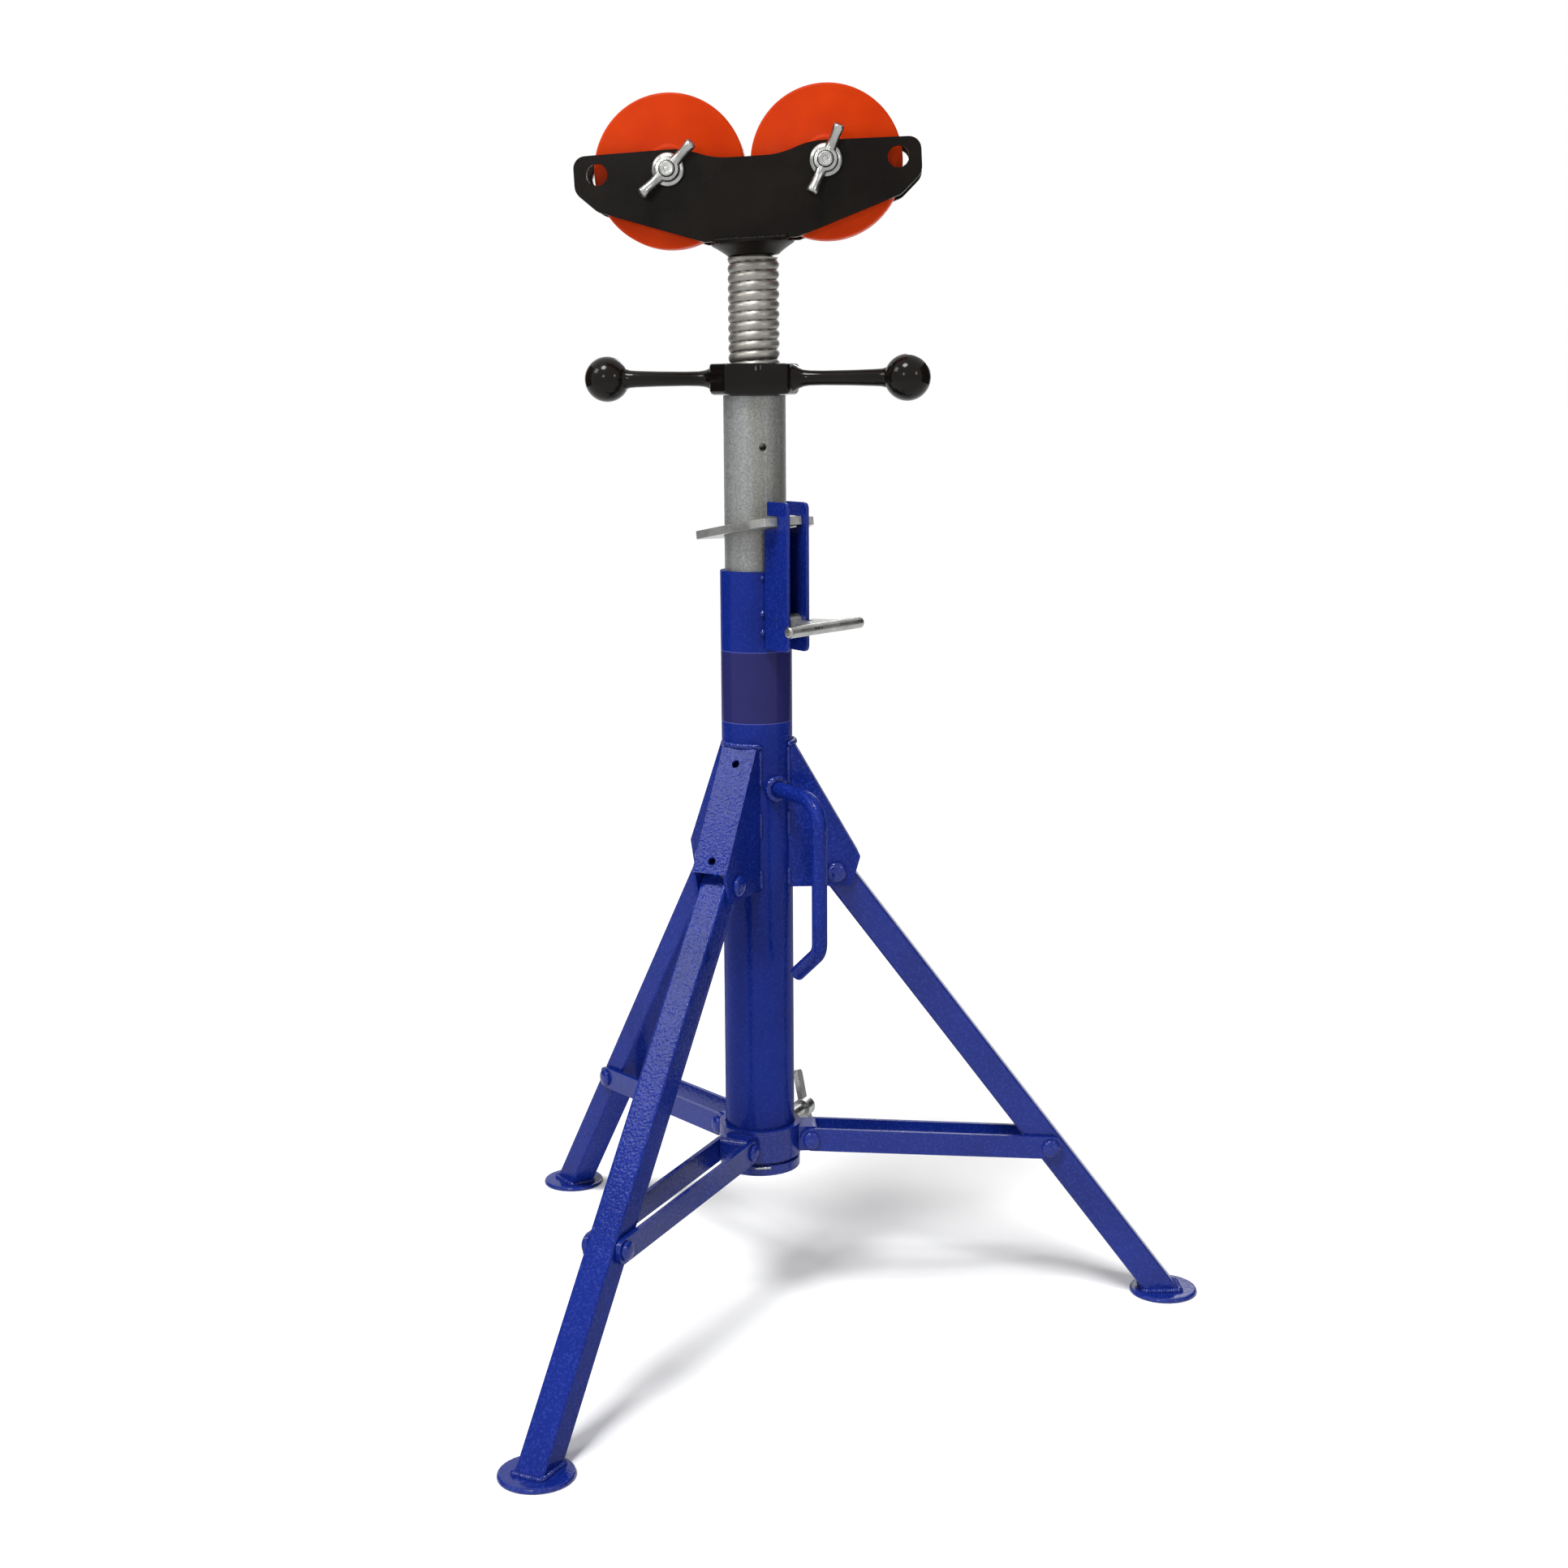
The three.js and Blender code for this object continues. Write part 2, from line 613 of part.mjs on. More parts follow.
// The lock plate, drawn level with its bore on the axis, then tilted about its hinge line
function lockPlateGeometry() {
  const sine = Math.sin(lockPlateTilt);
  const cosine = Math.cos(lockPlateTilt);
  const bore = (innerTubeDiameter + 2 * seatGap + lockPlateThickness * sine) / cosine;
  const tabHalf = lockCheekInner - slideGap;
  const slotHalf = lockChannelWidth / 2 + slideGap;
  const farHalf = [[lockPlateTabReach, tabHalf], [lockPlateSlotRoot, tabHalf], [lockPlateSlotRoot, slotHalf],
    [lockPlateFront, slotHalf], [lockPlateFront, lockPlateFrontHalf],
    [lockPlateShoulder, lockPlateShoulderHalf], [-lockPlateRear, lockPlateRearHalf, lockPlateCorner]];
  const nearHalf = farHalf.map(([reach, side, radius]) => [reach, -side, radius]).reverse();
  const plate = outline([...farHalf, ...nearHalf]);
  const half = lockPlateThickness / 2;
  const hole = post(bore / 2, -half - overrun, half + overrun);
  return carve([sheet(plate, -half, half)], [hole])
    .translate(-lockNotchReach / cosine, 0, 0)
    .rotateY(-lockPlateTilt)
    .translate(lockNotchReach, 0, lockPlateHingeHeight);
}

// Where the lever's grip rod runs: its middle line leans in plan and rises to the far end
function leverRodEnds() {
  const near = new THREE.Vector3(leverRodNearReach, -leverRodNearSide, leverPivotHeight - leverRodRise / 2);
  const far = new THREE.Vector3(leverRodFarReach, leverRodFarSide, leverPivotHeight + leverRodRise / 2);
  return { near, far };
}

function leverPlateGeometry() {
  const { near, far } = leverRodEnds();
  const lean = (far.x - near.x) / (far.y - near.y);
  const weldLine = (side) => near.x + lean * (side - near.y)
    - (leverRodDiameter / 2 + seatGap) * Math.hypot(1, lean);
  const neckHalf = lockCheekInner - seatGap;
  const slotSide = lockChannelWidth / 2 + slideGap;
  const plan = outline([[leverPivotReach, -neckHalf], [leverSlotRoot, -neckHalf],
    [weldLine(-leverNearCorner), -leverNearCorner], [weldLine(leverFarCorner), leverFarCorner],
    [leverEarBack, leverEarHalf], [leverEarBack, slotSide], [leverSlotRoot, slotSide],
    [leverSlotRoot, neckHalf], [leverPivotReach, neckHalf]]);
  const tipReach = innerTubeRadius + leverNoseGap;
  const nose = outline([[leverPivotReach, leverPivotHeight + leverHubRadius],
    [tipReach + leverNoseTopSetback, leverPivotHeight + leverNoseTopHeight],
    [tipReach, leverPivotHeight],
    [tipReach + leverNoseGap, leverPivotHeight - leverNoseLowHeight],
    [leverPivotReach, leverPivotHeight - leverHubRadius]]);
  const hub = crossPin(leverHubRadius, -neckHalf, neckHalf, leverPivotReach, leverPivotHeight);
  const pinHole = crossPin(leverPinDiameter / 2 + seatGap, -lockChannelWidth, lockChannelWidth,
    leverPivotReach, leverPivotHeight);
  const half = leverPlateThickness / 2;
  return carve([sheet(plan, leverPivotHeight - half, leverPivotHeight + half),
    slab(nose, -neckHalf, neckHalf), hub], [pinHole]);
}

function leverRodGeometry() {
  const { near, far } = leverRodEnds();
  const length = near.distanceTo(far);
  const radius = leverRodDiameter / 2;
  const edge = radius / 4;
  const rod = turned([[0, 0], [radius - edge, 0], [radius, edge], [radius, length - edge],
    [radius - edge, length], [0, length]], smallSides);
  const along = far.clone().sub(near).normalize();
  const upright = new THREE.Vector3(0, 0, 1);
  return rod.applyQuaternion(new THREE.Quaternion().setFromUnitVectors(upright, along))
    .translate(near.x, near.y, near.z);
}

function innerTubeGeometry() {
  const tube = turnedRing(innerTubeRadius - innerTubeWall, innerTubeRadius,
    innerTubeTop - innerTubeLength, innerTubeTop);
  const hole = crossPin(crossHoleDiameter / 2, -innerTubeDiameter, innerTubeDiameter, 0,
    innerTubeTop - crossHoleDrop).rotateZ(crossHoleAzimuth + Math.PI / 2);
  return carve([tube], [hole]);
}

// A threaded rod whose rows of vertices follow the helix, so one turn on is a pitch higher
function threadedRod(rootRadius, crestRadius, bottom, top) {
  const firstRow = Math.floor((bottom / threadPitch - spareTurns) * threadRowsPerTurn);
  const rows = Math.ceil((top / threadPitch + spareTurns) * threadRowsPerTurn) - firstRow;
  const meanRadius = (rootRadius + crestRadius) / 2;
  const depth = (crestRadius - rootRadius) / 2;
  const positions = [];
  const faces = [];
  const vertex = (side, row) => (side === threadSides ? row + threadRowsPerTurn : side * (rows + 1) + row);
  for (let side = 0; side < threadSides; side += 1) {
    const angle = (side / threadSides) * 2 * Math.PI;
    const lastRow = side === threadSides - 1 ? rows - threadRowsPerTurn : rows;
    for (let row = 0; row <= rows; row += 1) {
      const turns = (firstRow + row) / threadRowsPerTurn;
      const radius = meanRadius + depth * Math.cos(turns * 2 * Math.PI);
      const height = (turns + side / threadSides) * threadPitch;
      positions.push(radius * Math.cos(angle), radius * Math.sin(angle), height);
      if (row < lastRow) {
        const [a, b] = [vertex(side, row), vertex(side + 1, row)];
        const [c, d] = [vertex(side + 1, row + 1), vertex(side, row + 1)];
        faces.push(a, b, c, a, c, d);
      }
    }
  }
  const lowEdge = [];
  const highEdge = [];
  for (let side = 0; side < threadSides; side += 1) {
    lowEdge.push(vertex(side, 0));
    highEdge.push(vertex(side, rows));
  }
  for (let row = 1; row <= threadRowsPerTurn; row += 1) {
    lowEdge.push(vertex(0, threadRowsPerTurn + 1 - row));
    highEdge.push(vertex(threadSides - 1, rows - row));
  }
  const centre = threadSides * (rows + 1);
  positions.push(0, 0, (firstRow / threadRowsPerTurn) * threadPitch);
  positions.push(0, 0, ((firstRow + rows) / threadRowsPerTurn + 1) * threadPitch);
  lowEdge.forEach((corner, i) => faces.push(lowEdge[(i + 1) % lowEdge.length], corner, centre));
  highEdge.forEach((corner, i) => faces.push(corner, highEdge[(i + 1) % highEdge.length], centre + 1));
  const geometry = new THREE.BufferGeometry();
  geometry.setAttribute('position', new THREE.Float32BufferAttribute(positions, 3));
  geometry.setIndex(faces);
  return geometry;
}

// The jack screw: thread up to the shoulder, then a plain spigot that holds the head
function stemGeometry() {
  const threadTop = stemShoulder - seatGap - funnelNeckRadius * Math.sin(headLean);
  const spigotTop = funnelTop - seatGap - spigotRadius * Math.sin(headLean);
  const past = threadCrestRadius + overrun;
  const spare = (spareTurns + 2) * threadPitch;
  const square = [-past, past];
  return carve([threadedRod(threadRootRadius, threadCrestRadius, stemBottom, spigotTop)], [
    box(square, square, [stemBottom - spare, stemBottom]),
    turnedRing(spigotRadius, past, threadTop, spigotTop + spare),
    box(square, square, [spigotTop, spigotTop + spare]),
  ]);
}

function nutGeometry() {
  const low = nutBottom + nutLowerChamfer;
  const high = nutTop - nutUpperChamfer;
  const hub = turned([[0, nutBottom], [nutCornerRadius - nutLowerChamfer, nutBottom], [nutCornerRadius, low],
    [nutCornerRadius, high], [nutCornerRadius - nutUpperChamfer, nutTop], [0, nutTop]], nutSides);
  const armStart = (nutCornerRadius + threadCrestRadius) / 2;
  const arm = turned([[0, armStart], [nutArmHubDiameter / 2, armStart], [nutArmBallDiameter / 2, nutBallReach],
    [0, nutBallReach]], smallSides).rotateY(Math.PI / 2);
  const ball = new THREE.SphereGeometry(nutBallDiameter / 2, smallSides, ballRows)
    .rotateZ(Math.PI / 2).translate(nutBallReach, 0, 0);
  const armsAndBalls = [0, Math.PI].flatMap((turn) => [arm, ball].map((piece) =>
    piece.clone().rotateZ(nutAzimuth + turn).translate(0, 0, nutBottom + nutArmHeight)));
  const bore = threadedRod(threadRootRadius + threadClearance, threadCrestRadius + threadClearance,
    nutBottom, nutTop);
  return carve([hub.rotateZ(nutAzimuth + Math.PI / nutSides), ...armsAndBalls], [bore]);
}

// Head parts, in a frame whose x axis runs along the head plates
function funnelGeometry() {
  const bore = spigotRadius + seatGap + (funnelHeight / 2) * Math.tan(headLean);
  const profile = [[bore, stemShoulder], [funnelNeckRadius, stemShoulder],
    [funnelRimRadius, funnelTop - funnelRimThickness], [funnelRimRadius, funnelTop], [bore, funnelTop]];
  return turned([...profile, profile[0]]);
}

function headPlateGeometry(side) {
  const rightHalf = [[plateFootHalf, funnelHeight + seatGap], [plateChinHalf, plateChinRise, plateChinRadius],
    [plateHalfLength, plateEndBottomRise, plateChinRadius], [plateHalfLength, plateEndTopRise, plateEndCorner],
    [shoulderHalf, shoulderRise, shoulderRadius], [saddleHalf, saddleRise, saddleRadius]];
  const leftHalf = rightHalf.map(([across, up, radius]) => [-across, up, radius]).reverse();
  const plate = outline([...rightHalf, ...leftHalf]);
  for (const end of [1, -1]) {
    circleHole(plate, end * endHoleHalf, endHoleRise, endHoleDiameter / 2);
    circleHole(plate, end * axleHalfSpacing, axleRise, axleDiameter / 2 + seatGap);
  }
  const [from, to] = side > 0 ? [headPlateInner, headPlateOuter] : [-headPlateOuter, -headPlateInner];
  return slab(plate, from, to, plateSteps).translate(0, 0, stemShoulder);
}

// Pieces on an axle, drawn round the axle's middle and laid along the sideways direction
function wheelGeometry() {
  const bore = bushDiameter / 2 + seatGap;
  const half = wheelWidth / 2;
  const bossHalf = wheelBossWidth / 2;
  const profile = [[bore, -bossHalf], [wheelBossRadius, -bossHalf], [wheelBossRadius, -half],
    [wheelRadius, -half], [wheelRadius, half], [wheelBossRadius, half], [wheelBossRadius, bossHalf],
    [bore, bossHalf]];
  return sideways(turned([...profile, profile[0]], wheelSides), 0, 0);
}

function bushGeometry() {
  const half = headPlateInner - slideGap;
  return sideways(turnedRing(axleDiameter / 2 + seatGap, bushDiameter / 2, -half, half, smallSides), 0, 0);
}

function washerGeometry(side) {
  const from = side * (wheelBossWidth / 2 + seatGap);
  const [low, high] = [from, from + side * washerThickness].sort((a, b) => a - b);
  return sideways(turnedRing(bushDiameter / 2 + seatGap, washerDiameter / 2, low, high, smallSides), 0, 0);
}

function axleBoltGeometry() {
  const face = headPlateOuter + seatGap;
  const shank = post(axleDiameter / 2, -face - axleTipLength, face + boltHexHeight / 2, smallSides);
  const hexHead = post(boltHexFlats / Math.sqrt(3), face, face + boltHexHeight, 6);
  return sideways(carve([shank, hexHead]), 0, 0);
}

function wingNutGeometry(turn) {
  const bore = axleDiameter / 2 + seatGap;
  const body = turned([[0, 0], [wingNutFlangeRadius, 0], [wingNutFlangeRadius, wingNutFlangeHeight],
    [wingNutNeckRadius, wingNutHeight], [0, wingNutHeight]], smallSides);
  const wing = outline([[0, 0], [wingNutFlangeRadius, wingNutFlangeHeight / 2],
    [wingNutSpan, wingNutWingLow, wingNutWingCorner], [wingNutSpan, wingNutWingHigh, wingNutWingCorner],
    [wingNutNeckRadius, wingNutHeight], [0, wingNutHeight]]);
  const half = wingNutWingThickness / 2;
  const wings = [0, Math.PI].map((side) => slab(wing, -half, half).rotateZ(side));
  return carve([body, ...wings], [post(bore, -overrun, wingNutHeight + overrun, smallSides)])
    .rotateZ(turn).rotateX(Math.PI / 2).translate(0, -headPlateOuter - seatGap, 0);
}

// Scene graph
function place(parent, name, geometry, material) {
  const mesh = new THREE.Mesh(geometry, material);
  mesh.name = name;
  parent.add(mesh);
  return mesh;
}

function turnedGroup(parent, azimuth) {
  const group = new THREE.Group();
  group.rotation.z = azimuth;
  parent.add(group);
  return group;
}

// A group tilted about the sideways line at a height, its right-hand end raised
function leaningGroup(parent, height, lean) {
  const tilted = new THREE.Group();
  tilted.position.z = height;
  tilted.rotation.y = -lean;
  parent.add(tilted);
  const group = new THREE.Group();
  group.position.z = -height;
  tilted.add(group);
  return group;
}

function addColumn(stand) {
  place(stand, 'outer_tube', outerTubeGeometry(), bluePaint);
  place(stand, 'base_ring', baseRingGeometry(), bluePaint);
  place(turnedGroup(stand, handleAzimuth), 'carry_handle', handleGeometry(), bluePaint);
  place(stand, 'inner_tube', innerTubeGeometry(), galvanised);
}

function addTripod(stand) {
  const leg = legGeometry();
  const foot = footGeometry();
  const bracket = bracketGeometry();
  const pivotBolt = pivotBoltGeometry();
  const strutPin = strutPinGeometry();
  const sides = { left: 1, right: -1 };
  for (const [letter, azimuth] of Object.entries(legAzimuths)) {
    const spoke = turnedGroup(stand, azimuth);
    place(spoke, `leg_bracket_${letter}`, bracket, bluePaint);
    place(spoke, `leg_pivot_bolt_${letter}`, pivotBolt, bluePaint);
    place(spoke, `leg_${letter}`, leg, bluePaint);
    place(spoke, `foot_${letter}`, foot, bluePaint).position.x = footReach;
    place(spoke, `strut_pin_${letter}`, strutPin, bluePaint);
    for (const [name, side] of Object.entries(sides)) {
      place(spoke, `strut_bar_${letter}_${name}`, strutBarGeometry(side), bluePaint);
      place(spoke, `strut_rivet_${letter}_${name}`, strutRivetGeometry(side), bluePaint);
    }
  }
  place(stand, 'slide_collar', collarGeometry(), bluePaint);
  place(turnedGroup(stand, wingScrewAzimuth), 'wing_screw', wingScrewGeometry(), zinc);
}

function addLocks(stand) {
  const spoke = turnedGroup(stand, lockAzimuth);
  place(spoke, 'lock_channel', lockChannelGeometry(), bluePaint);
  place(spoke, 'lock_plate', lockPlateGeometry(), zinc);
  place(spoke, 'lever_pin', leverPinGeometry(), bluePaint);
  place(spoke, 'lever_plate', leverPlateGeometry(), zinc);
  place(spoke, 'lever_grip_rod', leverRodGeometry(), zinc);
}

function addHead(stand) {
  place(stand, 'adjusting_nut', nutGeometry(), blackPaint);
  place(stand, 'screw_stem', stemGeometry(), zinc);
  const head = leaningGroup(turnedGroup(stand, headAzimuth), leanHeight, headLean);
  place(head, 'head_hub', funnelGeometry(), blackPaint);
  place(head, 'head_plate_near', headPlateGeometry(-1), blackPaint);
  place(head, 'head_plate_far', headPlateGeometry(1), blackPaint);
  for (const [name, end] of Object.entries({ left: -1, right: 1 })) {
    const axle = new THREE.Group();
    axle.position.set(end * axleHalfSpacing, 0, stemShoulder + axleRise);
    head.add(axle);
    place(axle, `wheel_${name}`, wheelGeometry(), orangeWheel);
    place(axle, `wheel_bush_${name}`, bushGeometry(), zinc);
    place(axle, `wheel_washer_${name}_near`, washerGeometry(-1), zinc);
    place(axle, `wheel_washer_${name}_far`, washerGeometry(1), zinc);
    place(axle, `axle_bolt_${name}`, axleBoltGeometry(), zinc);
    place(axle, `axle_wing_nut_${name}`, wingNutGeometry(wingNutTurns[name]), zinc);
  }
}

const stand = new THREE.Group();
stand.position.x = originShift;
addColumn(stand);
addTripod(stand);
addLocks(stand);
addHead(stand);

export default stand;
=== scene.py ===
import json
import math
import random

import bmesh
import bpy
from mathutils import Matrix, Vector


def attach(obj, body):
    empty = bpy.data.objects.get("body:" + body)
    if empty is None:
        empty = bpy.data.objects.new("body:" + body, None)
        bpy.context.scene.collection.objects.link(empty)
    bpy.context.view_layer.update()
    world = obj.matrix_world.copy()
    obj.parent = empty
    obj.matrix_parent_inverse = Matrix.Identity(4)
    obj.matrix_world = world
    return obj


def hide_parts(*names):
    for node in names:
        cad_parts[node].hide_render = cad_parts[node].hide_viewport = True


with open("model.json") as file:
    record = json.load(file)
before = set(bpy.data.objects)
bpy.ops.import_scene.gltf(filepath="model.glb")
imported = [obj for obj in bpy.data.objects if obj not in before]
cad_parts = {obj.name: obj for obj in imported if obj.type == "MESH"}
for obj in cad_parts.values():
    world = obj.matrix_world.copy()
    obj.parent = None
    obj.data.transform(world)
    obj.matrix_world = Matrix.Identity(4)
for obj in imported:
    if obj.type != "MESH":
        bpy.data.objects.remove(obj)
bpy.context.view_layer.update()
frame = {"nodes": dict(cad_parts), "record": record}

random.seed(7)
MM = 0.001
NODES = frame["nodes"]
BODY_OF = {node: body for body, nodes in frame["record"]["behaviour"]["bodies"].items() for node in nodes}

# Sizes in millimetres and angles in degrees, in the column's frame, as the solids have them
COLUMN_X = -90.625
OUTER_RADIUS = 30.15
LABEL_LOW, LABEL_HIGH = 525, 586
LABEL_LINE = 0.7
LOCK_AZIMUTH, CHANNEL_WELD_HALF = -60, 11.3

# Tripod
LEG_AZIMUTHS = {"a": 240, "b": 120, "c": 0}
LEG_HALF = 12.7
LEG_SINE, LEG_COSINE = 0.6, 0.8
PIVOT_REACH, PIVOT_HEIGHT, BRACKET_FACE = 66.4, 394.8, 16.5
BRACKET_WELD_TOP, BRACKET_WELD_HALF = 506.6, 16.2
STRUT_PIN_REACH, STRUT_PIN_HEIGHT, STRUT_FACE = 44.4, 155, 17.5
PIVOT_TO_RIVET = 315.2
RIVET_REACH = PIVOT_REACH + PIVOT_TO_RIVET * LEG_SINE
RIVET_HEIGHT = PIVOT_HEIGHT - PIVOT_TO_RIVET * LEG_COSINE
RIVET_START = LEG_HALF + 0.5
FOOT_REACH, FOOT_TOP = 362.5, 4.2
BASE_RING_RADIUS, BASE_RING_TOP = 35, 138.5

# Carry handle
HANDLE_AZIMUTH = -60
HANDLE_RADIUS = 6.5
HANDLE_TOP, HANDLE_REACH = 470, 95.5
HANDLE_BEND_DROP, HANDLE_HOOK_DROP, HANDLE_END_DROP = 2.5, 129, 154
HANDLE_END_REACH = 62
HANDLE_UPPER_BEND, HANDLE_LOWER_BEND = 22, 15

# Screw jack
THREAD_PITCH = 8
THREAD_CREST, THREAD_ROOT = 21.25, 19.25
STEM_BOTTOM, STEM_TOP = 703, 909.1
SPIGOT_RADIUS, SPIGOT_TOP = 16, 920.9
NUT_BOTTOM, NUT_TOP = 798, 823.6
NUT_CORNER = 37.5
NUT_AZIMUTH = -20
NUT_ARM_Z = 811.5
BALL_RADIUS, BALL_REACH = 19, 131

# Head: it leans about the height LEAN_Z, and what follows is in its own leaning frame
HEAD_AZIMUTH, HEAD_LEAN, LEAN_Z = -5.8, 2.8, 916.25
AXLE_HALF, AXLE_Z = 64, 980.9
PLATE_OUTER, PLATE_WELD_HALF, PLATE_WELD_Z = 22, 31, 922.6
WHEEL_RADIUS, WHEEL_HALF = 61.8, 12
BOSS_RADIUS, BOSS_HALF = 20.5, 14
BOLT_RADIUS, BOLT_FACE, BOLT_END = 5.95, 34.4, 37


def column_matrix(azimuth=0.0):
    place = Matrix.Translation((COLUMN_X * MM, 0, 0)) @ Matrix.Rotation(math.radians(azimuth), 4, "Z")
    return place @ Matrix.Scale(MM, 4)


def head_matrix():
    lift = Matrix.Translation((0, 0, LEAN_Z))
    lean = lift @ Matrix.Rotation(math.radians(-HEAD_LEAN), 4, "Y") @ lift.inverted()
    return column_matrix(HEAD_AZIMUTH) @ lean


# Materials. The helpers add nodes and return what the last one gives. Colours are linear, scales of
# noise and cells are per metre, and depths are metres
class Nodes:
    """The node tree of a material or a world."""

    def __init__(self, owner):
        owner.use_nodes = True
        self.owner = owner
        self.tree = owner.node_tree

    def add(self, kind, links=(), **values):
        node = self.tree.nodes.new(kind)
        for key, value in values.items():
            if hasattr(node, key) and key not in node.inputs:
                setattr(node, key, value)
            else:
                node.inputs[key.replace("_", " ")].default_value = value
        for socket, source in dict(links).items():
            self.tree.links.new(source, node.inputs[socket])
        return node

    def where(self):
        return self.add("ShaderNodeTexCoord").outputs["Object"]

    def axes(self):
        return self.add("ShaderNodeSeparateXYZ", {"Vector": self.where()}).outputs

    def noise(self, scale, detail, stretch=None):
        place = self.where()
        if stretch:
            place = self.add("ShaderNodeMapping", {"Vector": place}, Scale=stretch).outputs[0]
        return self.add("ShaderNodeTexNoise", {"Vector": place}, Scale=scale, Detail=detail).outputs["Fac"]

    def cells(self, scale):
        return self.add("ShaderNodeTexVoronoi", {"Vector": self.where()}, Scale=scale).outputs["Distance"]

    def ramp(self, source, low, high, start=0.3, end=0.7):
        node = self.add("ShaderNodeValToRGB", {"Fac": source})
        for element, place, colour in zip(node.color_ramp.elements, (start, end), (low, high)):
            element.position = place
            element.color = (*colour, 1)
        return node.outputs["Color"]

    def span(self, source, low, high, start=0.3, end=0.7):
        node = self.add("ShaderNodeMapRange", {"Value": source})
        for socket, value in zip(("From Min", "From Max", "To Min", "To Max"), (start, end, low, high)):
            node.inputs[socket].default_value = value
        return node.outputs["Result"]

    def math(self, kind, one, two):
        node = self.add("ShaderNodeMath", operation=kind)
        for socket, value in zip(node.inputs, (one, two)):
            if isinstance(value, (int, float)):
                socket.default_value = value
            else:
                self.tree.links.new(value, socket)
        return node.outputs[0]

    def mix(self, factor, one, two):
        node = self.add("ShaderNodeMix", data_type="RGBA")
        for socket, value in ((node.inputs[0], factor), (node.inputs[6], one), (node.inputs[7], two)):
            if isinstance(value, tuple):
                socket.default_value = (*value, 1)
            else:
                self.tree.links.new(value, socket)
        return node.outputs[2]

    def bump(self, height, strength, depth):
        node = self.add("ShaderNodeBump", {"Height": height}, Strength=strength, Distance=depth)
        return node.outputs["Normal"]

    def sum(self, one, two, share):
        return self.math("ADD", one, self.math("MULTIPLY", two, share))

    def multiply(self, factor, one, two):
        node = self.add("ShaderNodeMix", data_type="RGBA", blend_type="MULTIPLY")
        node.inputs[0].default_value = factor
        self.tree.links.new(one, node.inputs[6])
        self.tree.links.new(two, node.inputs[7])
        return node.outputs[2]

    def seen(self):
        """1 for rays from the camera, a mirror or glass, and 0 for light that falls on things."""
        path = self.add("ShaderNodeLightPath").outputs
        through = self.math("MAXIMUM", path["Is Glossy Ray"], path["Is Transmission Ray"])
        return self.math("MAXIMUM", path["Is Camera Ray"], through)

    def finish(self, **sockets):
        """Sets the sockets of the material's shader to plain values, or links nodes' outputs to them."""
        shader = self.tree.nodes["Principled BSDF"]
        for key, value in sockets.items():
            socket = shader.inputs[key.replace("_", " ")]
            if isinstance(value, tuple):
                socket.default_value = (*value, 1)
            elif isinstance(value, (int, float)):
                socket.default_value = value
            else:
                self.tree.links.new(value, socket)
        return self.owner


def blue_paint(name, gloss, painted_sparkle, labelled=False):
    """Thick glossy paint with a fine grain. Its crests are painted paler by the given share: pale painted
    flecks that stand in for the grain's sparkling highlights.
    """
    n = Nodes(bpy.data.materials.new(name))
    grit = n.noise(450, 1)
    colour = n.ramp(n.noise(14, 3), (0.0036, 0.0134, 0.144), (0.0058, 0.0194, 0.202))
    # Painted highlight: paler flecks on the grain's crests stand in for the paint's sparkle
    colour = n.mix(n.span(grit, 0.0, painted_sparkle, 0.50, 0.68), colour, (0.025, 0.046, 0.32))
    height = n.sum(grit, n.noise(140, 1), 0.5)
    roughness = n.span(n.noise(240, 2), 0.24, 0.38)
    if labelled:
        middle = (LABEL_LOW + LABEL_HIGH) / 2 * MM
        half = (LABEL_HIGH - LABEL_LOW) / 2 * MM
        away = n.math("ABSOLUTE", n.math("SUBTRACT", n.axes()["Z"], middle), 0)
        inside = n.math("LESS_THAN", away, half)
        line = n.math("MULTIPLY", inside, n.math("GREATER_THAN", away, half - LABEL_LINE * MM))
        colour = n.mix(inside, colour, (0.0195, 0.0195, 0.103))
        colour = n.mix(line, colour, (0.06, 0.072, 0.30))
        height = n.math("MULTIPLY", height, n.math("SUBTRACT", 1.0, n.math("MULTIPLY", inside, 0.85)))
    grain = n.bump(height, 0.65, 0.0004)
    return n.finish(Base_Color=colour, Roughness=roughness, Specular_IOR_Level=0.0, Normal=grain,
                    Coat_Weight=gloss, Coat_Roughness=0.09, Coat_Normal=grain)


def black_paint(name, specular, wrinkle, roughness):
    n = Nodes(bpy.data.materials.new(name))
    colour = n.ramp(n.noise(20, 3), (0.0034, 0.0024, 0.0018), (0.0075, 0.0058, 0.0045))
    height = n.sum(n.noise(70, 2), n.noise(420, 2), 0.3)
    return n.finish(Base_Color=colour, Roughness=n.span(n.noise(90, 3), *roughness),
                    Specular_IOR_Level=specular, Normal=n.bump(height, wrinkle, 0.0008))


def zinc_plate(name, low, high, metallic, roughness, dents, shaded_grooves=False):
    """Plated steel; the thread's grooves can be darkened with painted shade, the more so the nearer they
    lie to the column's axis.
    """
    n = Nodes(bpy.data.materials.new(name))
    colour = n.ramp(n.noise(60, 5), low, high)
    if shaded_grooves:
        # Painted shade in the thread's grooves, darker the nearer a point lies to the thread's root
        xyz = n.axes()
        across = n.math("SUBTRACT", xyz["X"], COLUMN_X * MM)
        square = n.math("ADD", n.math("MULTIPLY", across, across), n.math("MULTIPLY", xyz["Y"], xyz["Y"]))
        groove_top = THREAD_ROOT + 1.1
        groove_shade = n.span(n.math("SQRT", square, 0), 1.0, 0.0, THREAD_ROOT * MM, groove_top * MM)
        colour = n.mix(groove_shade, colour, tuple(0.30 * value for value in low))
    height = n.sum(n.noise(900, 3), n.noise(130, 2), 1.2)
    return n.finish(Base_Color=colour, Metallic=metallic, Roughness=n.span(n.noise(150, 4), *roughness),
                    Normal=n.bump(height, dents, 0.0004))


